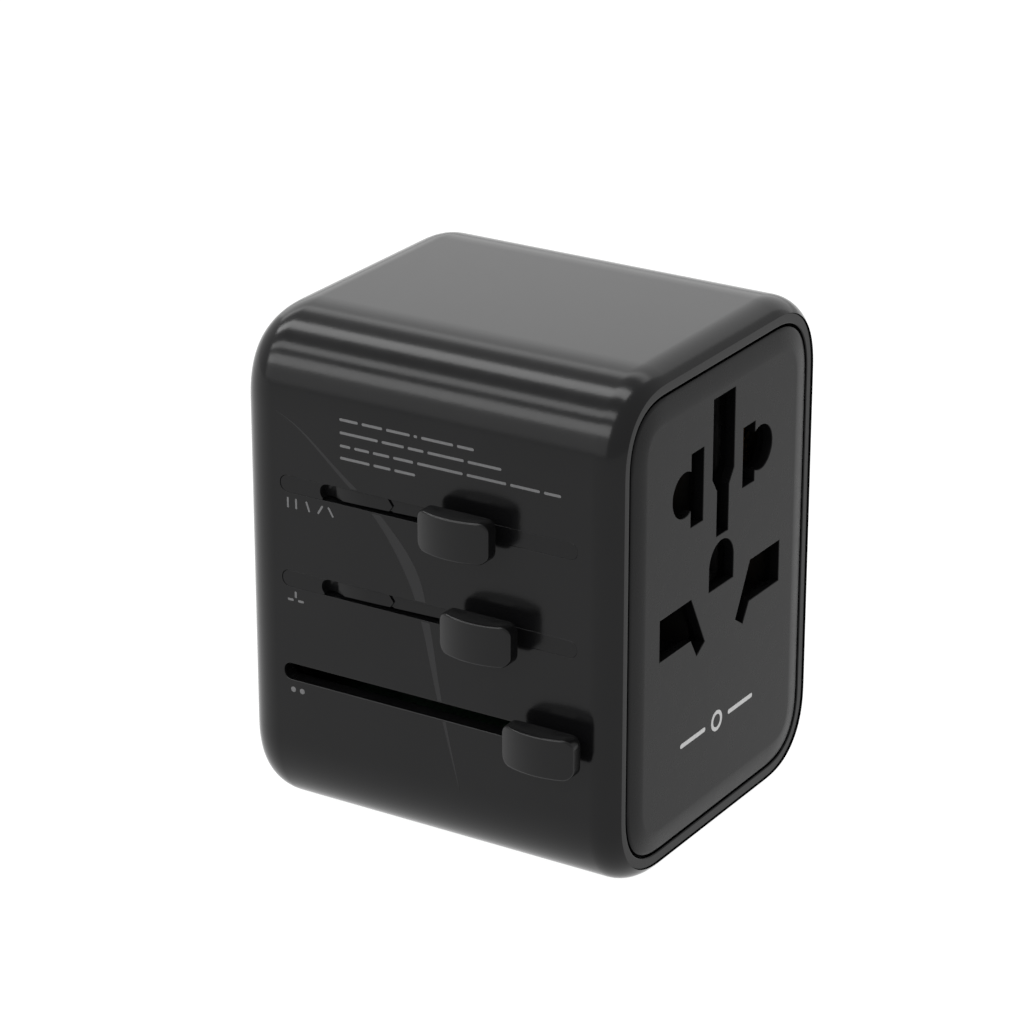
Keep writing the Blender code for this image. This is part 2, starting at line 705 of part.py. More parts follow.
def make_slot_liner(name, z, detent):
    """The strip that closes a slot down to a slit for the knob's thin neck, with a pit at the detent."""
    top = z + SLOT_H / 2 - HAIR
    bottom = z - SLOT_H / 2 + SLIT_H
    y = (SLOT_FRONT + HAIR, SLOT_BACK - HAIR)
    outer = -HALF_W + LINER_SINK
    inner = -INNER_X + HAIR
    liner = box(name, (outer, inner + 0.1), (y[0] + 0.8, y[1] - 0.8), (bottom, top), BLACK)
    join(
        liner,
        box(
            "join_" + name,
            (inner, inner + LINER_FLANGE_T - 0.45),
            (y[0], y[1]),
            (bottom, z + SHOE_HALF_H),
        ),
    )
    notch = BACK - NOTCH_FROM_BACK
    pit = cylinder(f"cut_pit_{name}", 0, (detent, (top + bottom) / 2), 1.1, outer - 1, outer + 0.9)
    pit_box = box(
        f"cut_pit_box_{name}",
        (outer - 1, outer + 0.9),
        (detent - DETENT_L / 2, detent),
        (bottom - 0.3, top + 0.3),
    )
    notch_y = (notch - 0.2, notch + 0.2)
    groove = box(f"cut_notch_{name}", (outer - 1, outer + 0.35), notch_y, (bottom - 1, top + 1))
    return cut(liner, pit, pit_box, groove)


def make_us_set():
    y = (US_CARRIAGE_Y, US_CARRIAGE_Y + US_CARRIAGE_T)
    neck_z = thin_neck_z(US_Z)
    carriage = box("us_carriage", (-10.6, 10.4), y, (US_Z - 4.7, US_Z + 4.7), INNER_GREY)
    shoe_y = (US_KNOB_Y - THIN_NECK_L / 2 - 1.0, max(US_KNOB_Y + THIN_NECK_L / 2 + 1.0, y[0] + 2.0))
    join(
        carriage,
        box("join_us_arm", (-SHOE_IN - 0.3, -9.0), (y[0] + 0.1, y[0] + 4.0), (US_Z - 2.5, US_Z + 2.5)),
        box("join_us_shoe", (-SHOE_OUT, -SHOE_IN), shoe_y, (US_Z - SHOE_HALF_H, US_Z + SHOE_HALF_H)),
    )
    cut(carriage, neck_socket("cut_us_neck", US_KNOB_Y, THIN_NECK_L, THIN_NECK_H, neck_z))
    for side, hand in ((-1, "left"), (1, "right")):
        axis = (side * US_PIN_X, 0, US_Z)
        centre = (axis[0], axis[2])
        cut(carriage, cylinder(f"cut_shank_us_{side}", 1, centre, US_SHANK_R + GAP, y[0] - 1, y[1] + 1))
        tip = BACK + US_BLADE_OUT - US_TRAVEL
        x = (axis[0] - US_BLADE_T / 2, axis[0] + US_BLADE_T / 2)
        z = (US_Z - US_BLADE_W / 2, US_Z + US_BLADE_W / 2)
        blade = box("us_blade_" + hand, x, (y[1] + 0.2, tip), z, NICKEL, 0.3, axis)
        join(blade, cylinder(f"join_us_{side}", 1, centre, US_SHANK_R, y[0] + 0.3, y[1] + 0.6))
        rotor_y = (GUIDE_FRONT + 0.3, BACK - 0.15)
        rotor = cylinder("us_rotor_" + hand, 1, centre, ROTOR_R, *rotor_y, BLACK, 32, 0.0, axis)
        flange_y = (GUIDE_BACK - 0.95, GUIDE_BACK)
        join(rotor, cylinder(f"join_rotor_{side}", 1, centre, ROTOR_FLANGE_R, *flange_y, None, 32))
        cut(
            rotor,
            box(
                f"cut_rotor_{side}",
                (x[0] - GAP, x[1] + GAP),
                (rotor_y[0] - 1, rotor_y[1] + 1),
                (z[0] - GAP, z[1] + GAP),
            ),
        )
    make_knob("us_knob", US_KNOB_Y, US_Z, THIN_NECK_L, THIN_NECK_H, neck_z)
    make_slot_liner("us_slot_liner", US_Z, US_KNOB_Y + US_TRAVEL)
    wiper_y = (y[0] + 0.5, y[0] + 5.0)
    under = US_Z - 4.7 - GAP - WIPER_T
    make_wiper("us_wiper_neutral", -1, 3.0, WIPER_REACH, wiper_y, under)
    make_wiper("us_wiper_live", 1, 3.0, BRANCH_IN - GAP, wiper_y, under)


def make_uk_set():
    y = (UK_CARRIAGE_Y, UK_CARRIAGE_END)
    neck_z = thin_neck_z(UK_Z)
    z = (UK_Z - 4.0, UK_Z + 3.8)
    earth = UK_Z + UK_EARTH_UP
    right = BUS_IN - 1.4
    carriage = box("uk_carriage", (-SHOE_IN - 0.3, right), y, z, INNER_GREY)
    shoe_y = (min(UK_KNOB_Y - THIN_NECK_L / 2 - 1.0, y[0]), y[1] - 0.4)
    riser = spread(1, right - 6.8, right - 0.1)
    join(
        carriage,
        box("join_uk_shoe", (-SHOE_OUT, -SHOE_IN), shoe_y, (UK_Z - SHOE_HALF_H, UK_Z + SHOE_HALF_H)),
        box("join_uk_riser", riser, (y[0] + 0.6, y[1] - 0.1), (z[1] - 1.0, earth + 4.4)),
        box("join_uk_top", (-4.2, right - 0.2), (y[0] + 1.4, y[1] - 0.2), (earth - 4.0, earth + 4.3)),
    )
    cut(carriage, neck_socket("cut_uk_neck", UK_KNOB_Y, THIN_NECK_L, THIN_NECK_H, neck_z))
    for side, name in ((-1, "uk_pin_neutral"), (1, "uk_pin_live")):
        x = (side * UK_PIN_X - UK_PIN_W / 2, side * UK_PIN_X + UK_PIN_W / 2)
        pin_z = (UK_Z - UK_PIN_H / 2, UK_Z + UK_PIN_H / 2)
        box(name, x, (y[0] + 0.6, BACK + UK_PIN_OUT - UK_TRAVEL), pin_z, NICKEL, 0.5)
        hole_z = (pin_z[0] - GAP, pin_z[1] + GAP)
        cut(carriage, box("cut_" + name, (x[0] - GAP, x[1] + GAP), (y[0] - 1, y[1] + 1), hole_z))
    x = (-UK_EARTH_W / 2, UK_EARTH_W / 2)
    earth_z = (earth - UK_EARTH_H / 2, earth + UK_EARTH_H / 2)
    tip = BACK + UK_EARTH_OUT - UK_TRAVEL
    pin = box("uk_pin_earth", x, (y[1] + GAP, tip), earth_z, BLACK, 0.6)
    stem_z = (earth - 2.0, earth + 2.0)
    join(pin, box("join_earth_stem", (-1.2, 1.2), (y[0] + 1.7, y[1] + 2), stem_z))
    stem_hole = (stem_z[0] - GAP, stem_z[1] + GAP)
    cut(carriage, box("cut_uk_stem", (-1.2 - GAP, 1.2 + GAP), (y[0], y[1] + 1), stem_hole))
    make_knob("uk_knob", UK_KNOB_Y, UK_Z, THIN_NECK_L, THIN_NECK_H, neck_z)
    make_slot_liner("uk_slot_liner", UK_Z, UK_KNOB_Y + UK_TRAVEL)
    under = z[0] - GAP - WIPER_T
    wiper_y = (y[0] + 0.5, y[1] - 0.5)
    make_wiper("uk_wiper_neutral", -1, 8.5, WIPER_REACH, wiper_y, under)
    make_wiper("uk_wiper_live", 1, 8.5, WIPER_REACH, wiper_y, under)


def make_eu_set():
    y = (EU_CARRIAGE_Y, EU_CARRIAGE_END)
    z = (EU_Z - 4.45, EU_Z + 4.35)
    carriage = box("eu_carriage", (-SHOE_IN - 0.3, 14.0), y, z, INNER_GREY)
    shoe_y = (min(EU_KNOB_Y - NECK_L / 2 - 1.0, y[0]), y[1] - 0.2)
    join(
        carriage,
        box("join_eu_shoe", (-SHOE_OUT, -SHOE_IN), shoe_y, (EU_Z - SHOE_HALF_H, EU_Z + SHOE_HALF_H)),
    )
    tip = BACK - EU_PIN_RECESS
    for side, hand in ((-1, "left"), (1, "right")):
        centre = (side * EU_PIN_X, EU_Z)
        join(carriage, cylinder(f"join_sleeve_{side}", 1, centre, EU_SLEEVE_R, y[1] - 0.5, tip - EU_BARE_PIN))
    for side, hand in ((-1, "left"), (1, "right")):
        centre = (side * EU_PIN_X, EU_Z)
        cut(carriage, cylinder(f"cut_eu_{side}", 1, centre, EU_PIN_R + GAP, y[0] - 1, tip))
        cylinder("eu_pin_" + hand, 1, centre, EU_PIN_R, y[0] + 0.4, tip, NICKEL, 24, 1.4)
    cut(carriage, neck_socket("cut_eu_neck", EU_KNOB_Y, NECK_L, NECK_H, EU_Z))
    make_knob("eu_knob", EU_KNOB_Y, EU_Z, NECK_L, NECK_H, EU_Z)
    under = z[0] - GAP - WIPER_T
    wiper_y = (y[0] + 0.5, y[0] + 5.0)
    make_wiper("eu_wiper_neutral", -1, 7.5, WIPER_REACH, wiper_y, under)
    make_wiper("eu_wiper_live", 1, 7.5, WIPER_REACH, wiper_y, under)


def make_pin_guide():
    half = SHOE_IN - GAP
    y = (GUIDE_FRONT, GUIDE_BACK)
    z = (BOARD_Z + BOARD_T + 1.3, UK_Z + UK_EARTH_UP + UK_EARTH_H / 2 + 1.6)
    guide = prism("pin_guide", (-half, half), y, z, 1, 6.0, WHITE, 4)
    cut(guide, *pin_openings("cut_guide", (y[0] - 1, y[1] + 1)))
    for side in (-1, 1):
        centre = (side * US_PIN_X, US_Z)
        seat = (y[1] - 0.95 - GAP, y[1] + 1)
        cut(guide, cylinder(f"cut_rotor_seat_{side}", 1, centre, ROTOR_FLANGE_R + GAP, *seat))
    holder_r = FUSE_HOLDER_R + GAP
    return cut(guide, cylinder("cut_guide_fuse", 1, (FUSE_X, FUSE_Z), holder_r, y[0] - 1, y[1] + 1))


# ---- charger board, ports and fuse ----
def make_port(name, y, width, height):
    wall = 0.4
    x = (-width / 2, width / 2)
    z = (PORT_SINK, BOARD_Z - GAP)
    corner = 0.5 if name != "usb_c_port" else height / 2 * 0.96
    port = prism(name, x, (y - height / 2, y + height / 2), z, 2, corner, STEEL, 4)
    mouth = (z[0] - 1, z[1] - 2.0)
    inner_x = (x[0] + wall, x[1] - wall)
    inner_y = (y - height / 2 + wall, y + height / 2 - wall)
    cut(port, prism("cut_in_" + name, inner_x, inner_y, mouth, 2, corner * 0.8, None, 4))
    tongue_y = (y - 0.35, y + 0.35) if name == "usb_c_port" else (y + 0.2, y + 2.0)
    tongue = box("join_" + name, (x[0] + 1.3, x[1] - 1.3), tongue_y, (z[0] + 1.0, z[1] - 1.0))
    return join(port, tongue)


def make_board():
    y = (FLANGE_Y + FLANGE_T + RUN_GAP, GUIDE_FRONT - 1.0)
    z = (BOARD_Z, BOARD_Z + BOARD_T)
    board = box("charger_board", (-BOARD_HALF_W, BOARD_HALF_W), y, z, GREEN)
    for index, (px, py) in enumerate(post_points()):
        cut(board, cylinder(f"cut_board_{index}", 2, (px, py), SCREW_SHANK_R + GAP, z[0] - 1, z[1] + 1))
        screw(f"board_screw_{index + 1}", 2, (px, py), z[1] + HAIR + SCREW_HEAD_T, -1)
    for name, port_y, width, height in port_places():
        make_port(name, port_y, width, height)
    low = WALL + 0.8
    high = BOARD_Z - GAP
    rear = port_places()[-1][1] + USB_A_H / 2 + 2.4
    core = box("transformer_core", (-13.0, -1.0), (rear, rear + 12.0), (low, high), FERRITE, 0.3)
    window_z = (low + 1.9, high - 1.9)
    cut(core, box("cut_core", (-10.4, -3.6), (rear - 1, rear + 13), window_z))
    coil_x = (-10.4 + GAP, -3.6 - GAP)
    coil_z = (window_z[0] + GAP, window_z[1] - GAP)
    box("transformer_coil", coil_x, (rear - 1.2, rear + 13.2), coil_z, TAPE, 0.8)
    middle = (low + high) / 2
    cylinder("bulk_capacitor", 1, (8.2, middle), 4.2, rear - 0.6, rear + 13.5, CAN, 24, 0.6)
    cylinder("output_capacitor", 2, (-9.0, rear + 17.6), 2.9, low, high, CAN, 24, 0.5)
    box("rectifier", (-4.0, 1.4), (rear + 15.4, rear + 20.0), (high - 2.4, high), FERRITE, 0.2)
    choke = cylinder("choke", 2, (8.2, rear + 17.8), 3.4, high - 4.2, high, FERRITE, 24)
    cut(choke, cylinder("cut_choke", 2, (8.2, rear + 17.8), 1.4, low - 3, high + 1))


def make_fuse():
    centre = (FUSE_X, FUSE_Z)
    cap_start = INNER_BACK + 0.2
    end = cap_start - 2 * GAP - 1.4
    start = end - FUSE_L
    holder = cylinder("fuse_holder", 1, centre, FUSE_HOLDER_R, start - 1.0, cap_start - GAP, WHITE, 24)
    cut(holder, cylinder("cut_holder", 1, centre, FUSE_R + GAP, start - GAP, cap_start + 1))
    cylinder("fuse_end_front", 1, centre, FUSE_R, start, start + 5.0, NICKEL, 20)
    cylinder("fuse_glass", 1, centre, FUSE_R - 0.2, start + 5.0 + GAP, end - 5.0 - GAP, GLASS, 20)
    cylinder("fuse_end_rear", 1, centre, FUSE_R, end - 5.0, end, NICKEL, 20)
    cap = cylinder("fuse_cap", 1, centre, FUSE_CAP_R, cap_start, BACK - 0.15, BLACK, 32)
    join(cap, cylinder("join_fuse_cap", 1, centre, FUSE_R, end + GAP, cap_start + 0.3, None, 20))
    return cut(
        cap,
        box(
            "cut_coin_slot",
            (FUSE_X - 2.9, FUSE_X + 2.9),
            (BACK - 0.9, BACK + 1),
            (FUSE_Z - 0.6, FUSE_Z + 0.6),
        ),
    )


make_shell()
make_front_ring()
make_socket_panel()
make_contact_carrier()
make_contact("contact_neutral", -1)
make_contact("contact_live", 1)
for number, corner in enumerate(corner_points()):
    screw(f"carrier_screw_{number + 1}", 1, corner, FLANGE_Y + HAIR, 1)
make_live_bus()
make_neutral_bus()
make_pin_guide()
make_us_set()
make_uk_set()
make_eu_set()
make_board()
make_fuse()
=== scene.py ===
import json
import math

import bmesh
import bpy
from mathutils import Matrix, Vector


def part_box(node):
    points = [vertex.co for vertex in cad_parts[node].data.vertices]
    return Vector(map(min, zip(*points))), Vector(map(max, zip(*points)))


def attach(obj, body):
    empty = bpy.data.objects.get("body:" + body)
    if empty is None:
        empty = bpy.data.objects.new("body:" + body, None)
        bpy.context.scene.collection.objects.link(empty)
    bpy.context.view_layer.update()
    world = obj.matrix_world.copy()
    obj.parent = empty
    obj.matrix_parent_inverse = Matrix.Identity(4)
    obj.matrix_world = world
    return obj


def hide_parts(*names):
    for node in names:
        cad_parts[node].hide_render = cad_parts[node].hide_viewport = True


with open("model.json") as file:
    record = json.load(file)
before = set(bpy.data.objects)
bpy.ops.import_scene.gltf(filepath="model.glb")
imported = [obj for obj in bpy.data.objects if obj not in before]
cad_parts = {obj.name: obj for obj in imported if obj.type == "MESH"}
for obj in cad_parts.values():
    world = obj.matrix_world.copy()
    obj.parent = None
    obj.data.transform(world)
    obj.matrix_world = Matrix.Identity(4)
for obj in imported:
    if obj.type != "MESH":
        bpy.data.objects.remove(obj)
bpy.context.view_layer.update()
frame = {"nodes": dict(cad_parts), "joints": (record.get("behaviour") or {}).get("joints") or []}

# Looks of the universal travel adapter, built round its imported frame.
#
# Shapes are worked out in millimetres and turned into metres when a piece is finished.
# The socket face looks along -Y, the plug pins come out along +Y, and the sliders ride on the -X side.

MM = 0.001


def span(node):
    """Lowest and highest corner of a CAD node, in millimetres."""
    low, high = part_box(node)
    return Vector(low) / MM, Vector(high) / MM


def middle(node):
    low, high = span(node)
    return (low + high) / 2


WALL = 2.0

# ---- sizes read from the frame ----
SHELL_HIGH = span("main_shell")[1]
PANEL_LOW, PANEL_HIGH = span("socket_panel")
RING_LOW, RING_HIGH = span("front_ring")
HALF_W = SHELL_HIGH.x
BODY_H = SHELL_HIGH.z
BACK = SHELL_HIGH.y
FRONT = -BACK
PANEL_OFFSET = HALF_W - PANEL_HIGH.x
RING_OFFSET = HALF_W - RING_HIGH.x
INNER_BACK = BACK - WALL
KNOB_OUT = span("us_knob")[0].x
US_Z, UK_Z, EU_Z = (middle(f"{name}_knob").z for name in ("us", "uk", "eu"))
SOCKET_Z = 47.75

# ---- sizes of the moulded forms ----
# The housing's corners are superellipse arcs, EDGE_REACH wide and high.
EDGE_REACH = 11.35
EDGE_POWER = 2.35
CORNER_STEPS = 22
FRONT_R = 4.4
BACK_R = 5.8
FILLET_STEPS = 12
SEAM = 0.12
SEAM_EDGE = 0.13
RING_INNER = PANEL_OFFSET - 0.35
PANEL_PILLOW_W = 3.05
PANEL_PILLOW_H = 0.45
SLOT_HALF_H = 1.075
SLOT_FRONT = FRONT + 6.05
SLOT_BACK = BACK - 6.85
SLOT_EDGE = 0.12
FILLED_EDGE = 0.03
HOLE_GAP = 0.3
ROTOR_R = 4.6
FUSE_DOOR_R = 4.3
ROUND_HOLE_R = 3.9
BLADE_HALF_T = 0.75
BLADE_HALF_W = 3.175
PRINT_T = 0.02
PRINT_BITE = 0.02
CUT = 0.5
SHARP_ANGLE = 32

# ---- grain of the finishes, in features per metre ----
MOULD_GRAIN = 2600.0
DRAWN_LINES = 1500.0

OVAL_PORT = "usb_c_port"
PORTS = (OVAL_PORT, "usb_a_port_front", "usb_a_port_rear")
LEVELS = (US_Z, UK_Z, EU_Z)

PIECES = bpy.data.collections.new("travel_adapter_looks")
bpy.context.scene.collection.children.link(PIECES)


# ---- outlines ----
def rounded(points, radius, steps=6):
    """A closed outline of (u, v) points whose corners are turned into arcs."""
    made = []
    count = len(points)
    for i, corner in enumerate(points):
        corner = Vector(corner)
        back = Vector(points[i - 1]) - corner
        ahead = Vector(points[(i + 1) % count]) - corner
        half = back.angle(ahead) / 2
        reach = min(radius / math.tan(half), 0.48 * back.length, 0.48 * ahead.length)
        r = reach * math.tan(half)
        inwards = (back.normalized() + ahead.normalized()).normalized()
        centre = corner + inwards * (r / math.sin(half))
        start = corner + back.normalized() * reach - centre
        end = corner + ahead.normalized() * reach - centre
        sweep = start.angle_signed(end)
        for step in range(steps + 1):
            made.append(centre + Matrix.Rotation(-sweep * step / steps, 2) @ start)
    return made


def grown(points, amount):
    """A closed outline moved outwards by an amount. The points run anticlockwise."""
    made = []
    count = len(points)
    for i, point in enumerate(points):
        one = (Vector(point) - Vector(points[i - 1])).normalized()
        two = (Vector(points[(i + 1) % count]) - Vector(point)).normalized()
        normal = Vector((one.y + two.y, -one.x - two.x))
        made.append(Vector(point) + normal * (amount / max(0.2, 1 + one.dot(two))))
    return made


def rectangle(u, v, radius=0.2, steps=6):
    return rounded([(u[0], v[0]), (u[1], v[0]), (u[1], v[1]), (u[0], v[1])], radius, steps)


def circle(centre, radius, steps=48):
    turn = [2 * math.pi * i / steps for i in range(steps)]
    return [Vector((centre[0] + radius * math.cos(t), centre[1] + radius * math.sin(t))) for t in turn]


def housing_walk():
    """Points of the housing's front outline in (x, z), with the outward normal at each."""
    walk = []
    middle_z = BODY_H / 2
    for quarter in range(4):
        for step in range(CORNER_STEPS + 1):
            t = math.pi / 2 * step / CORNER_STEPS
            c, s = max(math.cos(t), 0.0), max(math.sin(t), 0.0)
            u = EDGE_REACH * (c ** (2 / EDGE_POWER) - 1)
            v = EDGE_REACH * (s ** (2 / EDGE_POWER) - 1)
            normal = Vector((c ** (2 - 2 / EDGE_POWER), s ** (2 - 2 / EDGE_POWER))).normalized()
            if quarter % 2:
                u, v = v, u
                normal = Vector((normal.y, normal.x))
            signs = ((1, 1), (-1, 1), (-1, -1), (1, -1))[quarter]
            point = Vector((signs[0] * (HALF_W + u), middle_z + signs[1] * (middle_z + v)))
            walk.append((point, Vector((signs[0] * normal.x, signs[1] * normal.y))))
    return walk


WALK = housing_walk()


def housing_ring(offset, y):
    """The housing's outline moved inwards by an offset, in the plane y."""
    return [Vector((p.x - n.x * offset, y, p.y - n.y * offset)) for p, n in WALK]


def fillet_y(offset):
    """Depth of the front fillet's surface at an offset from the side."""
    return FRONT + FRONT_R - math.sqrt(max(0.0, FRONT_R**2 - (FRONT_R - offset) ** 2))


def quarter(centre, radius, start, end, steps=FILLET_STEPS):
    """Points of an arc between two angles in degrees."""
    turn = [math.radians(start + (end - start) * i / steps) for i in range(steps + 1)]
    return [(centre[0] + radius * math.cos(t), centre[1] + radius * math.sin(t)) for t in turn]


# ---- meshes ----
def first_ring(bm, points):
    verts = [bm.verts.new(p) for p in points]
    for i, vert in enumerate(verts):
        bm.edges.new((verts[i - 1], vert))
    return verts


def loop_edges(bm, verts):
    return [bm.edges.get((verts[i - 1], verts[i])) for i in range(len(verts))]


def extend(bm, verts, points):
    """Extrudes an edge loop and moves the new loop onto the points."""
    made = bmesh.ops.extrude_edge_only(bm, edges=loop_edges(bm, verts))["geom"]
    fresh = {item for item in made if isinstance(item, bmesh.types.BMVert)}
    new_loop = []
    for vert in verts:
        ends = (edge.other_vert(vert) for edge in vert.link_edges)
        new_loop.append(next(end for end in ends if end in fresh))
    for vert, point in zip(new_loop, points):
        vert.co = point
    return new_loop


def skin(rings, closed=False):
    """A closed form drawn over a row of rings. Its ends are capped, or joined where closed is set."""
    bm = bmesh.new()
    first = first_ring(bm, rings[0])
    loop = first
    for ring in rings[1:]:
        loop = extend(bm, loop, ring)
    if closed:
        bmesh.ops.bridge_loops(bm, edges=loop_edges(bm, first) + loop_edges(bm, loop))
    else:
        for end in (first, loop):
            bmesh.ops.contextual_create(bm, geom=loop_edges(bm, end))
    bmesh.ops.recalc_face_normals(bm, faces=bm.faces)
    return bm


def punch(points, axis, stations):
    """A form with a flat outline, at (grow, depth) stations along an axis.

    The outline's (u, v) are the two other coordinates, in X, Y, Z order.
    """
    rings = []
    for grow, depth in stations:
        ring = []
        for u, v in grown(points, grow) if grow else points:
            coords = [u, v]
            coords.insert(axis, depth)
            ring.append(Vector(coords))
        rings.append(ring)
    return skin(rings)


def mouth(surface, outward, radius, inner):
    """Stations for a hole whose mouth is rounded where it meets a surface."""
    made = [(0.0, inner)]
    for step in range(5):
        t = math.pi / 2 * step / 4
        made.append((radius * (1 - math.cos(t)), surface - outward * radius * (1 - math.sin(t))))
    made.append((radius, surface + outward))
    return made


def block(x, y, z, edge, segments=3):
    """A box between two values on each axis, with its edges rounded."""
    bm = bmesh.new()
    bmesh.ops.create_cube(bm, size=1.0)
    bmesh.ops.scale(bm, vec=(x[1] - x[0], y[1] - y[0], z[1] - z[0]), verts=bm.verts)
    bmesh.ops.translate(bm, vec=((x[0] + x[1]) / 2, (y[0] + y[1]) / 2, (z[0] + z[1]) / 2), verts=bm.verts)
    if edge:
        soften(bm, bm.edges[:], edge, segments)
    return bm


def soften(bm, edges, radius, segments=3):
    bmesh.ops.bevel(
        bm,
        geom=edges,
        offset=radius,
        offset_type="OFFSET",
        segments=segments,
        profile=0.5,
        affect="EDGES",
        clamp_overlap=True,
        material=-1,
    )


def turned(profile, centre, axis=1, steps=48):
    """A form turned round an axis through the centre. The profile's points are (radius, along)."""
    bm = bmesh.new()
    verts = []
    for radius, along in profile:
        coords = [radius, 0.0]
        coords.insert(axis, along)
        verts.append(bm.verts.new(coords))
    edges = [bm.edges.new(pair) for pair in zip(verts, verts[1:])]
    direction = [0, 0, 0]
    direction[axis] = 1
    bmesh.ops.spin(
        bm, geom=verts + edges, cent=(0, 0, 0), axis=direction, angle=2 * math.pi, steps=steps, use_merge=True
    )
    bmesh.ops.remove_doubles(bm, verts=bm.verts, dist=1e-4)
    bmesh.ops.recalc_face_normals(bm, faces=bm.faces)
    shift = [centre[0], centre[1]]
    shift.insert(axis, 0.0)
    bmesh.ops.translate(bm, vec=shift, verts=bm.verts)
    return bm


def helper(bm):
    """A short-lived object for a Boolean."""
    mesh = bpy.data.meshes.new("helper")
    bm.to_mesh(mesh)
    bm.free()
    obj = bpy.data.objects.new("helper", mesh)
    PIECES.objects.link(obj)
    return obj


def carve(bm, tools, operation="DIFFERENCE"):
    """The bmesh after a Boolean with each tool in turn."""
    target = helper(bm)
    others = [helper(tool) for tool in tools]
    for other in others:
        modifier = target.modifiers.new("carve", "BOOLEAN")
        modifier.operation = operation
        modifier.object = other
        modifier.solver = "EXACT"
    bpy.context.view_layer.update()
    mesh = bpy.data.meshes.new_from_object(target.evaluated_get(bpy.context.evaluated_depsgraph_get()))
    made = bmesh.new()
    made.from_mesh(mesh)
    for obj in (target, *others):
        old = obj.data
        bpy.data.objects.remove(obj, do_unlink=True)
        bpy.data.meshes.remove(old)
    bpy.data.meshes.remove(mesh)
    return made


def join(bm, *tools):
    """The bmesh grown into each tool, as one closed form."""
    return carve(bm, tools, "UNION")


def merged(*parts):
    """Several forms that don't touch, as one bmesh."""
    made = bmesh.new()
    for part in parts:
        mesh = bpy.data.meshes.new("part")
        part.to_mesh(mesh)
        part.free()
        made.from_mesh(mesh)
        bpy.data.meshes.remove(mesh)
    return made


def slice_at(bm, axis, depth):
    """Cuts the faces along a plane, so that their points can be bent there."""
    normal = [0, 0, 0]
    normal[axis] = 1
    place = [0, 0, 0]
    place[axis] = depth
    bmesh.ops.bisect_plane(bm, geom=bm.verts[:] + bm.edges[:] + bm.faces[:], plane_co=place, plane_no=normal)


def piece(name, bm, look, body="housing", nodes=()):
    """Finishes a piece: metres, smooth shading, its material, its body and what it stands for."""
    bmesh.ops.scale(bm, vec=(MM, MM, MM), verts=bm.verts)
    mesh = bpy.data.meshes.new(name)
    bm.to_mesh(mesh)
    bm.free()
    mesh.materials.clear()
    mesh.materials.append(look)
    mesh.shade_smooth()
    mesh.set_sharp_from_angle(angle=math.radians(SHARP_ANGLE))
    obj = bpy.data.objects.new(name, mesh)
    PIECES.objects.link(obj)
    modifier = obj.modifiers.new("even_normals", "WEIGHTED_NORMAL")
    modifier.keep_sharp = True
    modifier.weight = 80
    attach(obj, body)
    if nodes:
        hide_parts(*nodes)
    return obj


# ---- materials ----
def shader_tree(name):
    """A new material, its node tree and its shader."""
    made = bpy.data.materials.new(name)
    made.use_nodes = True
    tree = made.node_tree
    return made, tree, tree.nodes["Principled BSDF"]


def noise(tree, scale, detail, stretch=(1, 1, 1)):
    """Noise on Object coordinates. The scale is in features per metre."""
    coords = tree.nodes.new("ShaderNodeTexCoord")
    mapping = tree.nodes.new("ShaderNodeMapping")
    mapping.inputs["Scale"].default_value = stretch
    texture = tree.nodes.new("ShaderNodeTexNoise")
    texture.inputs["Scale"].default_value = scale
    texture.inputs["Detail"].default_value = detail
    texture.inputs["Roughness"].default_value = 0.5
    tree.links.new(coords.outputs["Object"], mapping.inputs["Vector"])
    tree.links.new(mapping.outputs["Vector"], texture.inputs["Vector"])
    return texture


def ramp(tree, source, low, high, start=0.3, end=0.7):
    """A factor turned into a colour or grey between two values."""
    made = tree.nodes.new("ShaderNodeValToRGB")
    for stop, place, value in zip(made.color_ramp.elements, (start, end), (low, high)):
        stop.position = place
        stop.color = (*value, 1) if isinstance(value, tuple) else (value, value, value, 1)
    tree.links.new(source, made.inputs["Fac"])
    return made.outputs["Color"]


def bump(tree, shader, source, distance):
    made = tree.nodes.new("ShaderNodeBump")
    made.inputs["Strength"].default_value = 1.0
    made.inputs["Distance"].default_value = distance
    tree.links.new(source, made.inputs["Height"])
    tree.links.new(made.outputs["Normal"], shader.inputs["Normal"])


def moulded(name, colour, roughness, spread, depth=0.000004, ior=1.45, shift=0.2):
    """Moulded plastic: a very fine spark-eroded grain, and gloss that drifts a little over the surface."""
    made, tree, shader = shader_tree(name)
    shader.inputs["IOR"].default_value = ior
    drift = noise(tree, 90.0, 3.0)
    darker = tuple(c * (1 - shift) for c in colour)
    tree.links.new(ramp(tree, drift.outputs["Fac"], darker, colour), shader.inputs["Base Color"])
    gloss = noise(tree, 420.0, 4.0)
    tree.links.new(
        ramp(tree, gloss.outputs["Fac"], roughness - spread, roughness + spread), shader.inputs["Roughness"]
    )
    fine = noise(tree, MOULD_GRAIN, 2.0)
    bump(tree, shader, fine.outputs["Fac"], depth)
    return made


def metal(name, colour, roughness, stretch=(1, 0.08, 1), tarnish=0.15):
    """Plated or drawn metal: fine lines along one direction and a slight tarnish."""
    made, tree, shader = shader_tree(name)
    shader.inputs["Metallic"].default_value = 1.0
    stain = noise(tree, 260.0, 4.0)
    dull = tuple(c * (1 - tarnish) for c in colour)
    tree.links.new(ramp(tree, stain.outputs["Fac"], dull, colour, 0.35, 0.6), shader.inputs["Base Color"])
    drawn = noise(tree, DRAWN_LINES, 3.0, stretch)
    tree.links.new(
        ramp(tree, drawn.outputs["Fac"], roughness * 0.75, roughness * 1.35), shader.inputs["Roughness"]
    )
    bump(tree, shader, drawn.outputs["Fac"], 0.000006)
    return made


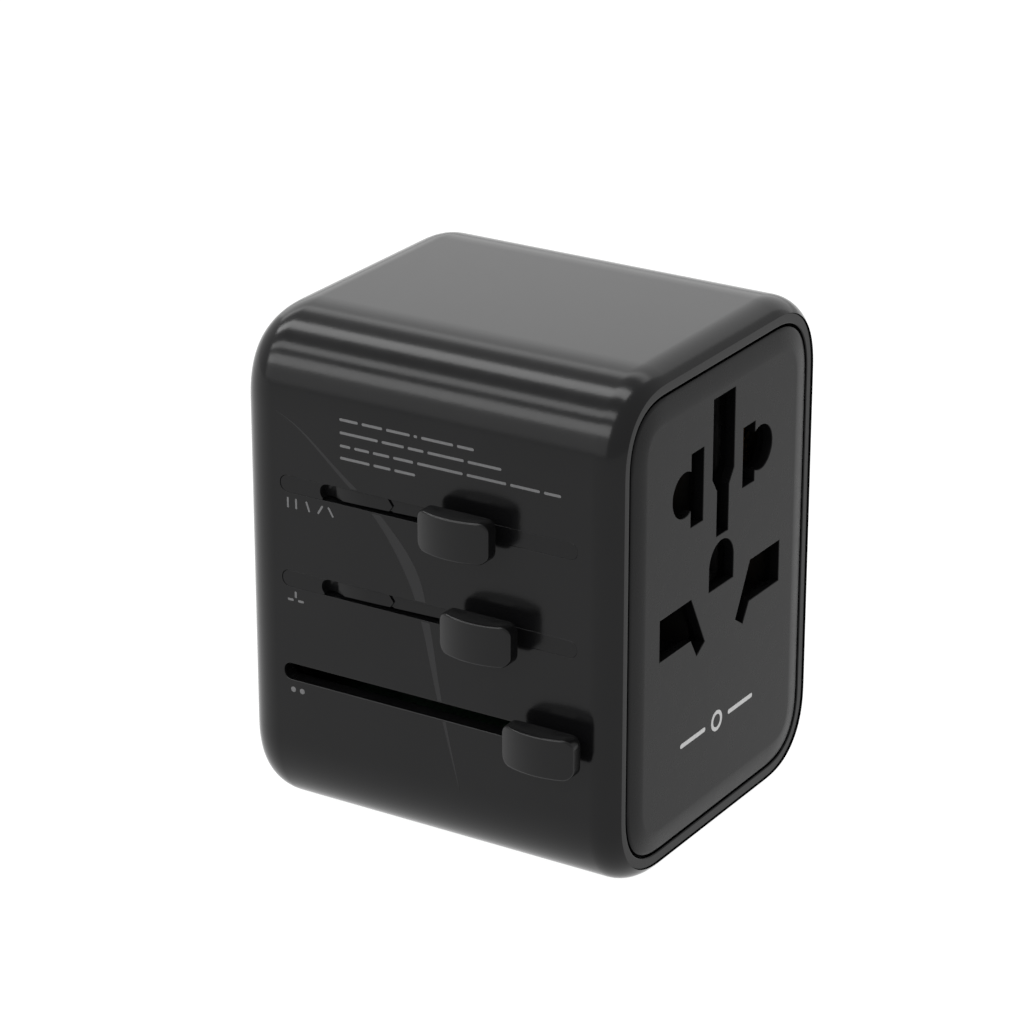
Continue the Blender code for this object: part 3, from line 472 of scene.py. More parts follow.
def printed(name, colour, roughness=0.5):
    """Pad-printed ink: slightly uneven cover with a soft surface."""
    made, tree, shader = shader_tree(name)
    cover = noise(tree, 3500.0, 2.0)
    thin = tuple(c * 0.8 for c in colour)
    tree.links.new(ramp(tree, cover.outputs["Fac"], thin, colour), shader.inputs["Base Color"])
    tree.links.new(
        ramp(tree, cover.outputs["Fac"], roughness - 0.08, roughness + 0.08), shader.inputs["Roughness"]
    )
    return made


def circuit_board():
    """Green solder mask over copper tracks, with the glass weave showing faintly. The green is darkened
    almost to black. That is painted shade, so the board seen through the open slot reads as the dark inside
    of the housing.
    """
    made, tree, shader = shader_tree("solder_mask_painted_shade")
    coords = tree.nodes.new("ShaderNodeTexCoord")
    tracks = tree.nodes.new("ShaderNodeTexBrick")
    tracks.inputs["Scale"].default_value = 260.0
    tracks.inputs["Mortar Size"].default_value = 0.06
    # The track and gap colours are painted shade: the board's green is darkened almost to black.
    tracks.inputs["Color1"].default_value = (0.002, 0.008, 0.004, 1)
    tracks.inputs["Color2"].default_value = (0.0025, 0.01, 0.005, 1)
    tracks.inputs["Mortar"].default_value = (0.005, 0.024, 0.01, 1)
    tree.links.new(coords.outputs["Object"], tracks.inputs["Vector"])
    tree.links.new(tracks.outputs["Color"], shader.inputs["Base Color"])
    weave = noise(tree, 1800.0, 2.0)
    tree.links.new(ramp(tree, weave.outputs["Fac"], 0.3, 0.45), shader.inputs["Roughness"])
    bump(tree, shader, tracks.outputs["Fac"], 0.00003)
    return made


def clear_glass():
    """Thin clear glass with a slight haze."""
    made, tree, shader = shader_tree("fuse_glass")
    shader.inputs["IOR"].default_value = 1.5
    shader.inputs["Transmission Weight"].default_value = 0.9
    haze = noise(tree, 500.0, 2.0)
    tree.links.new(ramp(tree, haze.outputs["Fac"], 0.03, 0.08), shader.inputs["Roughness"])
    tree.links.new(
        ramp(tree, haze.outputs["Fac"], (0.9, 0.94, 0.94), (1.0, 1.0, 1.0)), shader.inputs["Base Color"]
    )
    return made


def winding_tape():
    """Yellow polyester tape wound in layers."""
    made, tree, shader = shader_tree("winding_tape")
    layers = noise(tree, 500.0, 2.0, (1, 0.1, 6))
    tree.links.new(
        ramp(tree, layers.outputs["Fac"], (0.5, 0.33, 0.03), (0.68, 0.48, 0.06)), shader.inputs["Base Color"]
    )
    tree.links.new(ramp(tree, layers.outputs["Fac"], 0.3, 0.45), shader.inputs["Roughness"])
    bump(tree, shader, layers.outputs["Fac"], 0.00003)
    return made


HOUSING_BLACK = moulded("housing_black", (0.003, 0.003, 0.0032), 0.17, 0.012, ior=1.31)
PANEL_BLACK = moulded("panel_black", (0.0027, 0.0027, 0.0029), 0.28, 0.015, ior=1.22)
RING_BLACK = moulded("ring_black", (0.003, 0.003, 0.0032), 0.17, 0.012, ior=1.25)
KNOB_BLACK = moulded("knob_black", (0.0035, 0.0035, 0.0037), 0.2, 0.015, ior=1.32)
LINER_BLACK = moulded("liner_black", (0.0028, 0.0028, 0.003), 0.2, 0.015, ior=1.3)
CARRIER_BLACK = moulded("carrier_black", (0.006, 0.006, 0.006), 0.5, 0.05)
CARRIAGE_GREY = moulded("carriage_grey", (0.03, 0.03, 0.032), 0.45, 0.05)
SLEEVE_BLACK = moulded("sleeve_black", (0.012, 0.012, 0.013), 0.38, 0.03)
GUIDE_BLACK = moulded("guide_black", (0.012, 0.012, 0.012), 0.5, 0.05)
HOLDER_CREAM = moulded("holder_cream", (0.55, 0.53, 0.47), 0.42, 0.05, shift=0.08)
CHIP_BLACK = moulded("component_black", (0.02, 0.02, 0.021), 0.5, 0.08)
FERRITE_GREY = moulded("ferrite_grey", (0.05, 0.047, 0.045), 0.62, 0.08, depth=0.00001)
CAN_BLUE = moulded("capacitor_sleeve", (0.02, 0.035, 0.09), 0.32, 0.05, shift=0.1)
BRASS = metal("contact_brass", (0.78, 0.56, 0.25), 0.26)
NICKEL = metal("pin_nickel", (0.74, 0.73, 0.7), 0.16, tarnish=0.06)
STEEL = metal("port_steel", (0.6, 0.6, 0.61), 0.22, (1, 1, 0.08))
SCREW_STEEL = metal("screw_steel", (0.5, 0.5, 0.52), 0.3, (1, 1, 1))
PRINT_GREY = printed("print_grey", (0.085, 0.085, 0.087))
MARK_GREY = printed("mark_grey", (0.5, 0.5, 0.5), 0.4)
ACCENT_BLACK = moulded("accent_black", (0.013, 0.013, 0.0135), 0.18, 0.015, ior=1.31)
# The board's material is darkened almost to black, as painted shade for the inside seen through the slot.
BOARD_DARKENED_AS_SHADE = circuit_board()
FUSE_GLASS = clear_glass()
TAPE = winding_tape()


# ---- housing ----
def stadium(y, z, half_h):
    """A slot outline in (y, z) with round ends."""
    return rectangle(y, (z - half_h, z + half_h), half_h * 0.999, 12)


def round_hole(node, radius):
    """A round outline in (x, z), centred on a node."""
    centre = middle(node)
    return circle((centre.x, centre.z), radius, 64)


def pin_holes():
    """Outlines in (x, z) of the openings in the back wall."""
    made = [round_hole(node, ROTOR_R + HOLE_GAP) for node in ("us_rotor_left", "us_rotor_right")]
    for node in ("uk_pin_neutral", "uk_pin_live", "uk_pin_earth"):
        low, high = span(node)
        across = (low.x - HOLE_GAP, high.x + HOLE_GAP)
        upright = (low.z - HOLE_GAP, high.z + HOLE_GAP)
        made.append(rectangle(across, upright, 0.35, 4))
    made += [round_hole(node, ROUND_HOLE_R) for node in ("eu_pin_left", "eu_pin_right")]
    made.append(round_hole("fuse_cap", FUSE_DOOR_R + HOLE_GAP))
    return made


def make_housing():
    """The shell in one skin: outside from the back to the front lip, then the inside back again."""
    seat = RING_OFFSET - SEAM
    seat_floor = RING_HIGH.y + SEAM
    outer_back = [(BACK_R - r, y) for r, y in quarter((0, BACK - BACK_R), BACK_R, 90, 0)]
    turns = [math.pi / 2 * i / FILLET_STEPS for i in range(FILLET_STEPS, -1, -1)]
    offsets = [FRONT_R * (1 - math.sin(t)) for t in turns]
    fillet = [(offset, fillet_y(offset)) for offset in offsets if offset <= seat + SEAM_EDGE]
    lip = [
        (seat + SEAM_EDGE, fillet_y(seat + SEAM_EDGE)),
        (seat + SEAM_EDGE * 0.4, fillet_y(seat) + SEAM_EDGE * 0.1),
        (seat, fillet_y(seat) + SEAM_EDGE),
    ]
    inner_r = BACK_R - WALL
    inner_back = [(WALL + inner_r - r, y) for r, y in quarter((0, BACK - BACK_R), inner_r, 0, 90, 6)]
    rows = outer_back + fillet + lip + [(seat, seat_floor), (WALL, seat_floor)] + inner_back
    shell = skin([housing_ring(offset, y) for offset, y in rows])
    tools = []
    out = -HALF_W
    for z, edge in ((US_Z, FILLED_EDGE), (UK_Z, FILLED_EDGE), (EU_Z, SLOT_EDGE)):
        outline = stadium((SLOT_FRONT, SLOT_BACK), z, SLOT_HALF_H)
        tools.append(punch(outline, 0, mouth(out, -1, edge, out + WALL + CUT)))
    for outline in pin_holes():
        tools.append(punch(outline, 1, mouth(BACK, 1, 0.2, INNER_BACK - CUT)))
    gap = 0.2
    for node in PORTS:
        low, high = span(node)
        radius = (high.y - low.y) / 2 * 0.98 if node == OVAL_PORT else 0.7
        outline = rectangle((low.x - gap, high.x + gap), (low.y - gap, high.y + gap), radius, 8)
        tools.append(punch(outline, 2, mouth(0.0, -1, 0.3, WALL + CUT)))
    return carve(shell, tools)


def make_ring():
    """A flat band let into the shell's front edge, with a fine round on each edge."""
    front, back = RING_LOW.y, RING_HIGH.y
    outer_r, inner_r = 0.14, 0.16
    rows = [(RING_OFFSET, back)]
    rows += quarter((RING_OFFSET + outer_r, front + outer_r), outer_r, 180, 270, 3)
    rows += quarter((RING_INNER - inner_r, front + inner_r), inner_r, -90, 0, 4)
    rows.append((RING_INNER, back))
    return skin([housing_ring(offset, y) for offset, y in rows], closed=True)


# ---- socket panel ----
def socket_outlines():
    """Outlines in (x, z) of the socket's openings, measured from SOCKET_Z.

    Each side has a flat-pin slot run into a round-pin hole, and below it a square-pin hole with a
    slanted leg. In the middle are the stepped earth hole and the round ground hole.
    """
    round_r, round_x = 2.85, 9.2
    slot_near, slot_far = 4.77, 7.72
    slot_half_h = {-1: 4.65, 1: 3.85}
    ground_r, ground_floor, ground_z = 2.97, -14.69, -11.77
    meeting = math.degrees(math.acos((round_x - slot_far) / round_r))
    bulge = quarter((round_x, 0.0), round_r, meeting - 180, 180 - meeting, 32)
    lower = [(7.2, -14.01), (3.76, -20.65), (5.65, -21.85), (7.14, -19.37), (14.6, -19.37), (14.6, -14.01)]
    earth = [(1.43, -8.01), (1.43, -2.1), (2.61, -0.35), (2.61, 9.81)]
    made = []
    for side, up in slot_half_h.items():
        slot = [(slot_near, up), (slot_near, -up), (slot_far, -up), *bulge, (slot_far, up)]
        for outline in (slot, lower):
            made.append([(side * x, z) for x, z in outline][::side])
    made.append(earth + [(-x, z) for x, z in earth[::-1]])
    dome = quarter((0, ground_z), ground_r, 0, 180, 24)
    made.append([(-ground_r, ground_floor), (ground_r, ground_floor), *dome])
    return [[Vector((x, SOCKET_Z + z)) for x, z in outline] for outline in made]


def make_panel():
    """The pillowed socket face, its holes relieved from behind so that each has a thin lip."""
    front, back = PANEL_LOW.y, PANEL_HIGH.y
    chamfer, edge, lip, relief = 0.25, 0.12, 1.25, 0.42
    pillow_steps = 8
    edge_y = front + PANEL_PILLOW_H
    rows = [(PANEL_OFFSET + chamfer, back), (PANEL_OFFSET, back - chamfer)]
    rows += [(PANEL_OFFSET, edge_y + edge), (PANEL_OFFSET + edge * 0.3, edge_y + edge * 0.3)]
    for i in range(pillow_steps + 1):
        inset = edge + (PANEL_PILLOW_W - edge) * i / pillow_steps
        rows.append((PANEL_OFFSET + inset, front + PANEL_PILLOW_H * (1 - inset / PANEL_PILLOW_W) ** 1.5))
    panel = skin([housing_ring(offset, y) for offset, y in rows])
    land = front + lip
    tools = []
    for outline in socket_outlines():
        tools.append(punch(outline, 1, mouth(front, -1, 0.09, land + 0.1)))
        tools.append(punch(grown(outline, relief), 1, [(0.0, back + CUT), (0.0, land)]))
    return carve(panel, tools)


# ---- sliders ----
def make_knob(node, centre_y, neck_z, neck_h, neck_l):
    """A thumb piece crowned along its length, on a neck that passes through the slot."""
    centre_z = middle(node).z
    half_l, half_h, corner = 4.9, 2.6, 1.25
    thick, crown, rim, back_r = 3.05, 1.2, 0.26, 0.25
    slices = 32
    along = (centre_y - half_l, centre_y + half_l)
    outline = rectangle(along, (centre_z - half_h, centre_z + half_h), corner, 8)
    back = KNOB_OUT + thick
    stations = [(-back_r, back), (-0.07, back - 0.07), (0.0, back - back_r), (0.0, KNOB_OUT + crown)]
    for step in range(6):
        t = math.pi / 2 * step / 5
        stations.append((-rim * (1 - math.cos(t)), KNOB_OUT + rim * (1 - math.sin(t))))
    knob = punch(outline, 0, stations)
    for i in range(1, slices):
        slice_at(knob, 1, centre_y - half_l + 2 * half_l * i / slices)
    for vert in knob.verts:
        if vert.co.x < KNOB_OUT + crown + 0.3:
            vert.co.x += crown * ((vert.co.y - centre_y) / half_l) ** 2
    neck = block(
        (back - 0.3, -HALF_W + WALL + 1.0),
        (centre_y - neck_l / 2, centre_y + neck_l / 2),
        (neck_z - neck_h / 2, neck_z + neck_h / 2),
        0.06,
        2,
    )
    return join(knob, neck)


def make_liner(z, knob_y, travel):
    """The strip that fills a slot.

    It is flush at both ends. It has a round-ended pit where the knob clicks home, a shallow track
    from there to the knob, an arrow notch, and a slit along its lower side for the neck.
    """
    out = -HALF_W
    fit, above = 0.01, out - 1.0
    half = SLOT_HALF_H - fit
    outline = stadium((SLOT_FRONT + fit, SLOT_BACK - 0.09), z, half)
    strip = punch(outline, 0, [(0.0, out + WALL + 0.25), (0.0, out + 0.03), (-0.02, out + fit)])

    pit_end = knob_y + travel + 1.2
    pit_depth, track_depth, track_slope = 1.0, 0.3, 0.025
    track_from, slope_from = 1.7, 6
    start = knob_y - 3.4
    track = punch(stadium((start, pit_end), z, half - fit), 0, [(0.0, out + pit_depth), (0.0, above)])
    for run in (1.6, 3.2, 6.5, 9.5):
        slice_at(track, 1, pit_end - run)
    for vert in track.verts:
        run = pit_end - vert.co.y
        if vert.co.x > out and run > track_from:
            vert.co.x = out + (track_depth + max(0.0, run - slope_from) * track_slope)

    notch, notch_depth = BACK - 22.35, 0.62
    tools = [track]
    for sign in (-1, 1):
        tip = z + sign * 1.3
        arm = [(notch + 0.55, tip), (notch + 0.15, tip), (notch - 0.85, z), (notch - 0.35, z)]
        tools.append(punch([Vector(p) for p in arm][::sign], 0, [(0.0, out + notch_depth), (0.0, above)]))

    low_z = z - SLOT_HALF_H
    slit_end = pit_end - 0.35
    slit_below, slit_narrow, slit_wide = low_z - 0.5, low_z + 0.3, low_z + 0.62
    taper = [(start, slit_below), (slit_end, slit_below), (slit_end, slit_narrow), (start, slit_wide)]
    tools.append(punch([Vector(p) for p in taper], 0, [(0.0, out + WALL + 1.0), (0.0, above)]))
    return carve(strip, tools)


def make_eu_carriage():
    """The block that carries the two round pins, with their long insulating sleeves."""
    low, high = span("eu_carriage")
    block_end = low.y + 6.3
    body = block((-18.5, 14.0), (low.y, block_end), (EU_Z - 4.45, EU_Z + 4.35), 0.4)
    shoe_start = middle("eu_knob").y - 2.75
    shoe = block((-21.8, -18.7), (shoe_start, block_end - 0.2), (EU_Z - 3.0, EU_Z + 3.0), 0.3)
    arm = block((-19.4, -17.5), (low.y + 0.3, block_end - 0.3), (EU_Z - 2.6, EU_Z + 2.6), 0.2, 2)
    made = join(join(body, arm), shoe)
    sleeve_r, tip_r = 3.6, 0.5
    core_r, tip_start = sleeve_r - tip_r, high.y - tip_r
    for node in ("eu_pin_left", "eu_pin_right"):
        pin = middle(node)
        profile = [(0.0, block_end - 1.0), (sleeve_r, block_end - 1.0), (sleeve_r, tip_start)]
        profile += [(core_r + tip_r * math.cos(t), tip_start + tip_r * math.sin(t)) for t in (0.5, 1.0, 1.45)]
        profile.append((0.0, high.y))
        made = join(made, turned(profile, (pin.x, pin.z)))
    return made


def make_round_pin(node):
    """A round pin with a domed tip that is flat at its end."""
    low, high = span(node)
    centre = (low + high) / 2
    r = (high.x - low.x) / 2
    tip, tip_steps, flat = 1.9, 8, 0.35
    profile = [(0.0, low.y), (r, low.y), (r, high.y - tip)]
    for i in range(1, tip_steps + 1):
        t = math.pi / 2 * i / tip_steps
        profile.append((r * (flat + (1 - flat) * math.cos(t)), high.y - tip + tip * math.sin(t)))
    profile.append((0.0, high.y))
    return turned(profile, (centre.x, centre.z))


def at_end(bm, y):
    """Edges that lie in the plane y."""
    return [e for e in bm.edges if all(abs(v.co.y - y) < 1e-4 for v in e.verts)]


def sharp(bm, degrees=50):
    """Edges where the form turns by more than an angle."""
    return [e for e in bm.edges if e.is_manifold and e.calc_face_angle() > math.radians(degrees)]


def make_blade(node):
    """A flat pin with a chamfered tip and a round shank that turns in the carriage."""
    low, high = span(node)
    centre = (low + high) / 2
    start = low.y + 5.8
    across = (centre.x - BLADE_HALF_T, centre.x + BLADE_HALF_T)
    upright = (centre.z - BLADE_HALF_W, centre.z + BLADE_HALF_W)
    blade = block(across, (start, high.y), upright, 0)
    soften(blade, at_end(blade, high.y), 0.5, 2)
    soften(blade, sharp(blade), 0.16, 2)
    shank_r, shank_edge, shank_end = 2.5, 0.1, start + 0.5
    profile = [(0, low.y), (shank_r - shank_edge, low.y), (shank_r, low.y + shank_edge)]
    profile += [(shank_r, shank_end), (0, shank_end)]
    return join(blade, turned(profile, (centre.x, centre.z)))


def make_square_pin(node):
    """A square pin with a tapered, rounded tip."""
    low, high = span(node)
    pin = block((low.x, high.x), (low.y, high.y), (low.z, high.z), 0)
    soften(pin, at_end(pin, high.y), 1.25, 5)
    soften(pin, sharp(pin), 0.3, 3)
    return pin


def make_rotor(node, blade):
    """A turning disc in the back wall, slotted for its blade."""
    low, high = span(node)
    centre = (low + high) / 2
    r, flange_r, edge = ROTOR_R, 5.6, 0.35
    flange_back = INNER_BACK - HOLE_GAP
    flange_front = flange_back - 0.95
    groove = high.y - 0.12
    profile = [(0, low.y), (r, low.y), (r, flange_front), (flange_r, flange_front)]
    profile += [(flange_r, flange_back), (r, flange_back), (r, high.y - edge), (r - 0.1, high.y - 0.1)]
    profile += [(r - edge, high.y), (3.9, high.y), (3.85, groove), (3.6, groove), (3.55, high.y), (0, high.y)]
    disc = turned(profile, (centre.x, centre.z), steps=64)
    pin = middle(blade)
    half_t, half_w = BLADE_HALF_T + HOLE_GAP, BLADE_HALF_W + HOLE_GAP
    outline = rectangle((pin.x - half_t, pin.x + half_t), (pin.z - half_w, pin.z + half_w), 0.3, 4)
    return carve(disc, [punch(outline, 1, mouth(high.y, 1, 0.2, low.y - 1))])


def make_fuse_cap():
    """The fuse door: a shallow disc on a stem, with a coin slot."""
    low, high = span("fuse_cap")
    centre = (low + high) / 2
    r, edge, stem_r, stem_edge = FUSE_DOOR_R, 0.4, 2.6, 0.1
    slot_half_w, slot_half_h, slot_depth = 2.9, 0.6, 0.75
    base = INNER_BACK + 0.2
    profile = [(0, low.y), (stem_r - stem_edge, low.y), (stem_r, low.y + stem_edge), (stem_r, base)]
    profile += [(r, base), (r, high.y - edge), (r - 0.12, high.y - 0.12), (r - edge, high.y), (0, high.y)]
    cap = turned(profile, (centre.x, centre.z), steps=64)
    across = (centre.x - slot_half_w, centre.x + slot_half_w)
    upright = (centre.z - slot_half_h, centre.z + slot_half_h)
    slot = punch(rectangle(across, upright, 0.55, 5), 1, mouth(high.y, 1, 0.15, high.y - slot_depth))
    return carve(cap, [slot])


# ---- ports ----
def make_port(node):
    """A drawn steel shell, open at the underside."""
    low, high = span(node)
    wall = 0.4
    corner = (high.y - low.y) / 2 * 0.97 if node == OVAL_PORT else 0.5
    outline = rectangle((low.x, high.x), (low.y, high.y), corner, 8)
    bore_corner = max(0.25, corner - wall)
    bore = rectangle((low.x + wall, high.x - wall), (low.y + wall, high.y - wall), bore_corner, 8)
    shell = punch(outline, 2, [(-0.15, low.z), (0.0, low.z + 0.15), (0.0, high.z - 0.1), (-0.1, high.z)])
    return carve(shell, [punch(bore, 2, [(0.0, high.z - 1.8), (0.0, low.z + 0.1), (0.12, low.z - 1)])])


def tongue_faces(node):
    """The two sides of a port's tongue, in y."""
    y = middle(node).y
    return (y - 0.35, y + 0.35) if node == OVAL_PORT else (y + 0.2, y + 2.0)


def make_tongue(node):
    """The moulded tongue that carries the contact pads."""
    low, high = span(node)
    depth = (low.z + 1.0, high.z - 1.6)
    return block((low.x + 1.3, high.x - 1.3), tongue_faces(node), depth, 0.15, 2)


def make_pads(node):
    """Rows of contact pads, on both sides of the oval port's tongue and on one side of the others."""
    low, high = span(node)
    faces = tongue_faces(node)
    pads, pitch, width, half_t = 12, 0.5, 0.26, 0.05
    if node != OVAL_PORT:
        pads, pitch, width = 4, 2.2, 1.0
        faces = faces[:1]
    made = []
    for face in faces:
        for i in range(pads):
            x = (low.x + high.x) / 2 + (i - (pads - 1) / 2) * pitch
            across = (x - width / 2, x + width / 2)
            made.append(block(across, (face - half_t, face + half_t), (low.z + 1.4, high.z - 3.0), 0.02, 1))
    return merged(*made)


# ---- print ----
def side_mark(outline):
    """A flat printed shape on the slider side. The outline is in (y, z)."""
    return punch(outline, 0, [(0.0, -HALF_W + PRINT_BITE), (0.0, -HALF_W - PRINT_T)])


def face_mark(outline):
    """A flat printed shape on the socket panel. The outline is in (x, z)."""
    return punch(outline, 1, [(0.0, PANEL_LOW.y + PRINT_BITE), (0.0, PANEL_LOW.y - PRINT_T)])


def leaning(y, z, length, width, tilt):
    """A short bar turned by a tilt in degrees, as an outline in (y, z)."""
    turn = Matrix.Rotation(math.radians(tilt), 2)
    corners = rectangle((-width / 2, width / 2), (-length / 2, length / 2), width * 0.4, 3)
    return [turn @ c + Vector((y, z)) for c in corners]


def slider_symbols():
    """Patterns of pins beside each slot: flat and slanted ones, square ones and round ones."""
    made = []
    start, drop = 19.6, 2.35
    for run, tilt in ((0.3, 0), (1.5, 0), (3.2, -20), (5.0, 32), (6.5, -32)):
        made.append(side_mark(leaning(start - run, US_Z - 2.4, 1.35, 0.26, tilt)))
    for run, tilt, lift in ((0.4, 90, -0.4), (1.9, 90, -0.4), (1.15, 0, 0.35)):
        made.append(side_mark(leaning(start - run, UK_Z - drop + lift, 0.85, 0.3, tilt)))
    for run in (0.5, 1.8):
        made.append(side_mark(circle((start - run, EU_Z - drop), 0.36, 20)))
    return merged(*made)


def rating_rules():
    """Four short rows of plain rules, each a height and the lengths of its rules."""
    start, half_h, gap = 11.6, 0.17, 0.55
    rows = (
        (54.45, (2.6, 2.9, 3.3, 0.5, 4.4, 2.3)),
        (52.8, (5.4, 3.1, 2.2, 5.0, 4.6)),
        (51.15, (1.5, 2.1, 2.3, 2.8, 6.3, 5.4, 4.0, 2.3)),
        (49.6, (4.2, 2.4, 2.9)),
    )
    made = []
    for z, lengths in rows:
        y = start
        for length in lengths:
            made.append(side_mark(rectangle((y - length, y), (z - half_h, z + half_h), 0.16, 3)))
            y -= length + gap
    return merged(*made)


def smooth_line(points, steps=6):
    """Points along a curve through the given ones."""
    made = []
    for i in range(len(points) - 1):
        p0, p1 = points[max(0, i - 1)], points[i]
        p2, p3 = points[i + 1], points[min(len(points) - 1, i + 2)]
        for step in range(steps):
            t = step / steps
            square = p0 * 2 - p1 * 5 + p2 * 4 - p3
            cube = p1 * 3 - p0 - p2 * 3 + p3
            made.append((p1 * 2 + (p2 - p0) * t + square * t**2 + cube * t**3) / 2)
    return made + [points[-1]]


def accent_line():
    """A faint curved line across the slider side, widest at its bend and cut by the slots.

    The spine's points are (y, z, width).
    """
    spine = [
        (20.9, 53.85, 0.03),
        (17.3, 52.0, 0.2),
        (11.7, 47.5, 0.5),
        (6.1, 42.9, 0.95),
        (1.9, 37.4, 1.75),
        (-0.15, 31.5, 1.2),
        (-2.15, 21.5, 0.6),
        (-4.9, 10.3, 0.04),
    ]
    line = smooth_line([Vector(p) for p in spine])
    one, two = [], []
    for i, p in enumerate(line):
        along = (line[min(i + 1, len(line) - 1)] - line[max(i - 1, 0)]).to_2d().normalized()
        side = Vector((-along.y, along.x)) * (p.z / 2)
        one.append(p.to_2d() + side)
        two.append(p.to_2d() - side)
    outline = one + two[::-1]
    streak = punch(outline, 0, [(0.0, -HALF_W + PRINT_BITE), (0.0, -HALF_W - PRINT_T / 2)])
    tools = []
    for z in LEVELS:
        slot = stadium((SLOT_FRONT, SLOT_BACK), z, SLOT_HALF_H + 0.18)
        tools.append(punch(slot, 0, [(0.0, -HALF_W + 1.0), (0.0, -HALF_W - 1.0)]))
    return carve(streak, tools)


def panel_symbol():
    """A ring between two rules, as a plain mark on the socket face."""
    z, half_h = 15.3, 0.3
    middle_x, outer_r, inner_r = -0.4, 1.35, 0.85
    made = []
    for x in ((-9.3, -3.2), (2.4, 8.5)):
        made.append(face_mark(rectangle(x, (z - half_h, z + half_h), 0.28, 4)))
    under, over = PANEL_LOW.y + PRINT_BITE, PANEL_LOW.y - PRINT_T
    rings = []
    for radius, y in ((outer_r, under), (outer_r, over), (inner_r, over), (inner_r, under)):
        rings.append([Vector((p.x, y, p.y)) for p in circle((middle_x, z), radius)])
    made.append(skin(rings, closed=True))
    return merged(*made)


# ---- assembly ----
def build_outside():
    piece("housing_shell", make_housing(), HOUSING_BLACK, nodes=("main_shell",))
    piece("trim_ring", make_ring(), RING_BLACK, nodes=("front_ring",))
    piece("panel", make_panel(), PANEL_BLACK, nodes=("socket_panel",))
    piece("slider_marks", slider_symbols(), PRINT_GREY)
    piece("accent_streak", accent_line(), ACCENT_BLACK)
    piece("rating_rows", rating_rules(), PRINT_GREY)
    piece("panel_mark", panel_symbol(), MARK_GREY)


def build_sliders():
    """The upper two knobs have a fine neck in a slit, and the lowest a thick neck in an open slot."""
    travel = {joint["name"]: joint["range_m"][1] / MM for joint in frame["joints"] if "range_m" in joint}
    for prefix, z in (("us", US_Z), ("uk", UK_Z)):
        node = f"{prefix}_knob"
        y = middle(node).y - 0.2
        neck_z, neck_h, neck_l = z - SLOT_HALF_H + 0.15, 0.2, 1.6
        knob = make_knob(node, y, neck_z, neck_h, neck_l)
        piece(f"{prefix}_thumb", knob, KNOB_BLACK, f"{prefix}_slider", (node,))
        strip = make_liner(z, y, travel[f"{prefix}_slide"])
        piece(f"{prefix}_slot_strip", strip, LINER_BLACK, nodes=(f"{prefix}_slot_liner",))
    neck_h, neck_l = 1.35, 3.5
    knob = make_knob("eu_knob", middle("eu_knob").y, EU_Z, neck_h, neck_l)
    piece("eu_thumb", knob, KNOB_BLACK, "eu_slider", ("eu_knob",))


def build_pins():
    piece("eu_pin_block", make_eu_carriage(), SLEEVE_BLACK, "eu_slider", ("eu_carriage",))
    for hand in ("left", "right"):
        pin = f"eu_pin_{hand}"
        piece(f"eu_round_pin_{hand}", make_round_pin(pin), NICKEL, "eu_slider", (pin,))
        blade = f"us_blade_{hand}"
        piece(f"us_flat_pin_{hand}", make_blade(blade), NICKEL, blade, (blade,))
        rotor = f"us_rotor_{hand}"
        piece(f"us_disc_{hand}", make_rotor(rotor, blade), SLEEVE_BLACK, rotor, (rotor,))
    for name in ("neutral", "live"):
        node = f"uk_pin_{name}"
        piece(f"uk_square_pin_{name}", make_square_pin(node), NICKEL, "uk_slider", (node,))
    piece("fuse_door", make_fuse_cap(), SLEEVE_BLACK, "fuse_cap", ("fuse_cap",))


def build_ports():
    for node in PORTS:
        piece(node + "_shell", make_port(node), STEEL, nodes=(node,))
        piece(node + "_tongue", make_tongue(node), CHIP_BLACK)
        piece(node + "_pads", make_pads(node), BRASS)


def finish_inside():
    """Materials of the CAD nodes. A node that a piece stands for is hidden, and its look isn't seen."""
    looks = {
        "contact_carrier": CARRIER_BLACK,
        "pin_guide": GUIDE_BLACK,
        # The board's material is painted shade, darkened almost to black.
        "charger_board": BOARD_DARKENED_AS_SHADE,
        "transformer_core": FERRITE_GREY,
        "transformer_coil": TAPE,
        "bulk_capacitor": CAN_BLUE,
        "output_capacitor": CAN_BLUE,
        "rectifier": CHIP_BLACK,
        "choke": FERRITE_GREY,
        "fuse_holder": HOLDER_CREAM,
        "fuse_glass": FUSE_GLASS,
        "fuse_end_front": NICKEL,
        "fuse_end_rear": NICKEL,
        "us_carriage": CARRIAGE_GREY,
        "uk_carriage": CARRIAGE_GREY,
        "eu_carriage": CARRIAGE_GREY,
        "uk_pin_earth": SLEEVE_BLACK,
    }
    for name, node in frame["nodes"].items():
        look = looks.get(name)
        if look is None:
            look = SCREW_STEEL if "screw" in name else BRASS
        if not node.material_slots:
            node.data.materials.append(look)
        for slot in node.material_slots:
            slot.material = look


# ---- stage ----
CAMERA_AT = (-0.38193, -0.23574, 0.21999)
CAMERA_AZIMUTH = -58.0
CAMERA_ELEVATION = 22.21
CAMERA_LENS = 138.9
FLOOR_HALF = 6.0
FLOOR_DROP = 0.0004
LIGHT_DISTANCE = 1.5
LIGHT_LENGTH = 2.6
LIGHT_MIDDLE_Y = 0.61 * LIGHT_DISTANCE


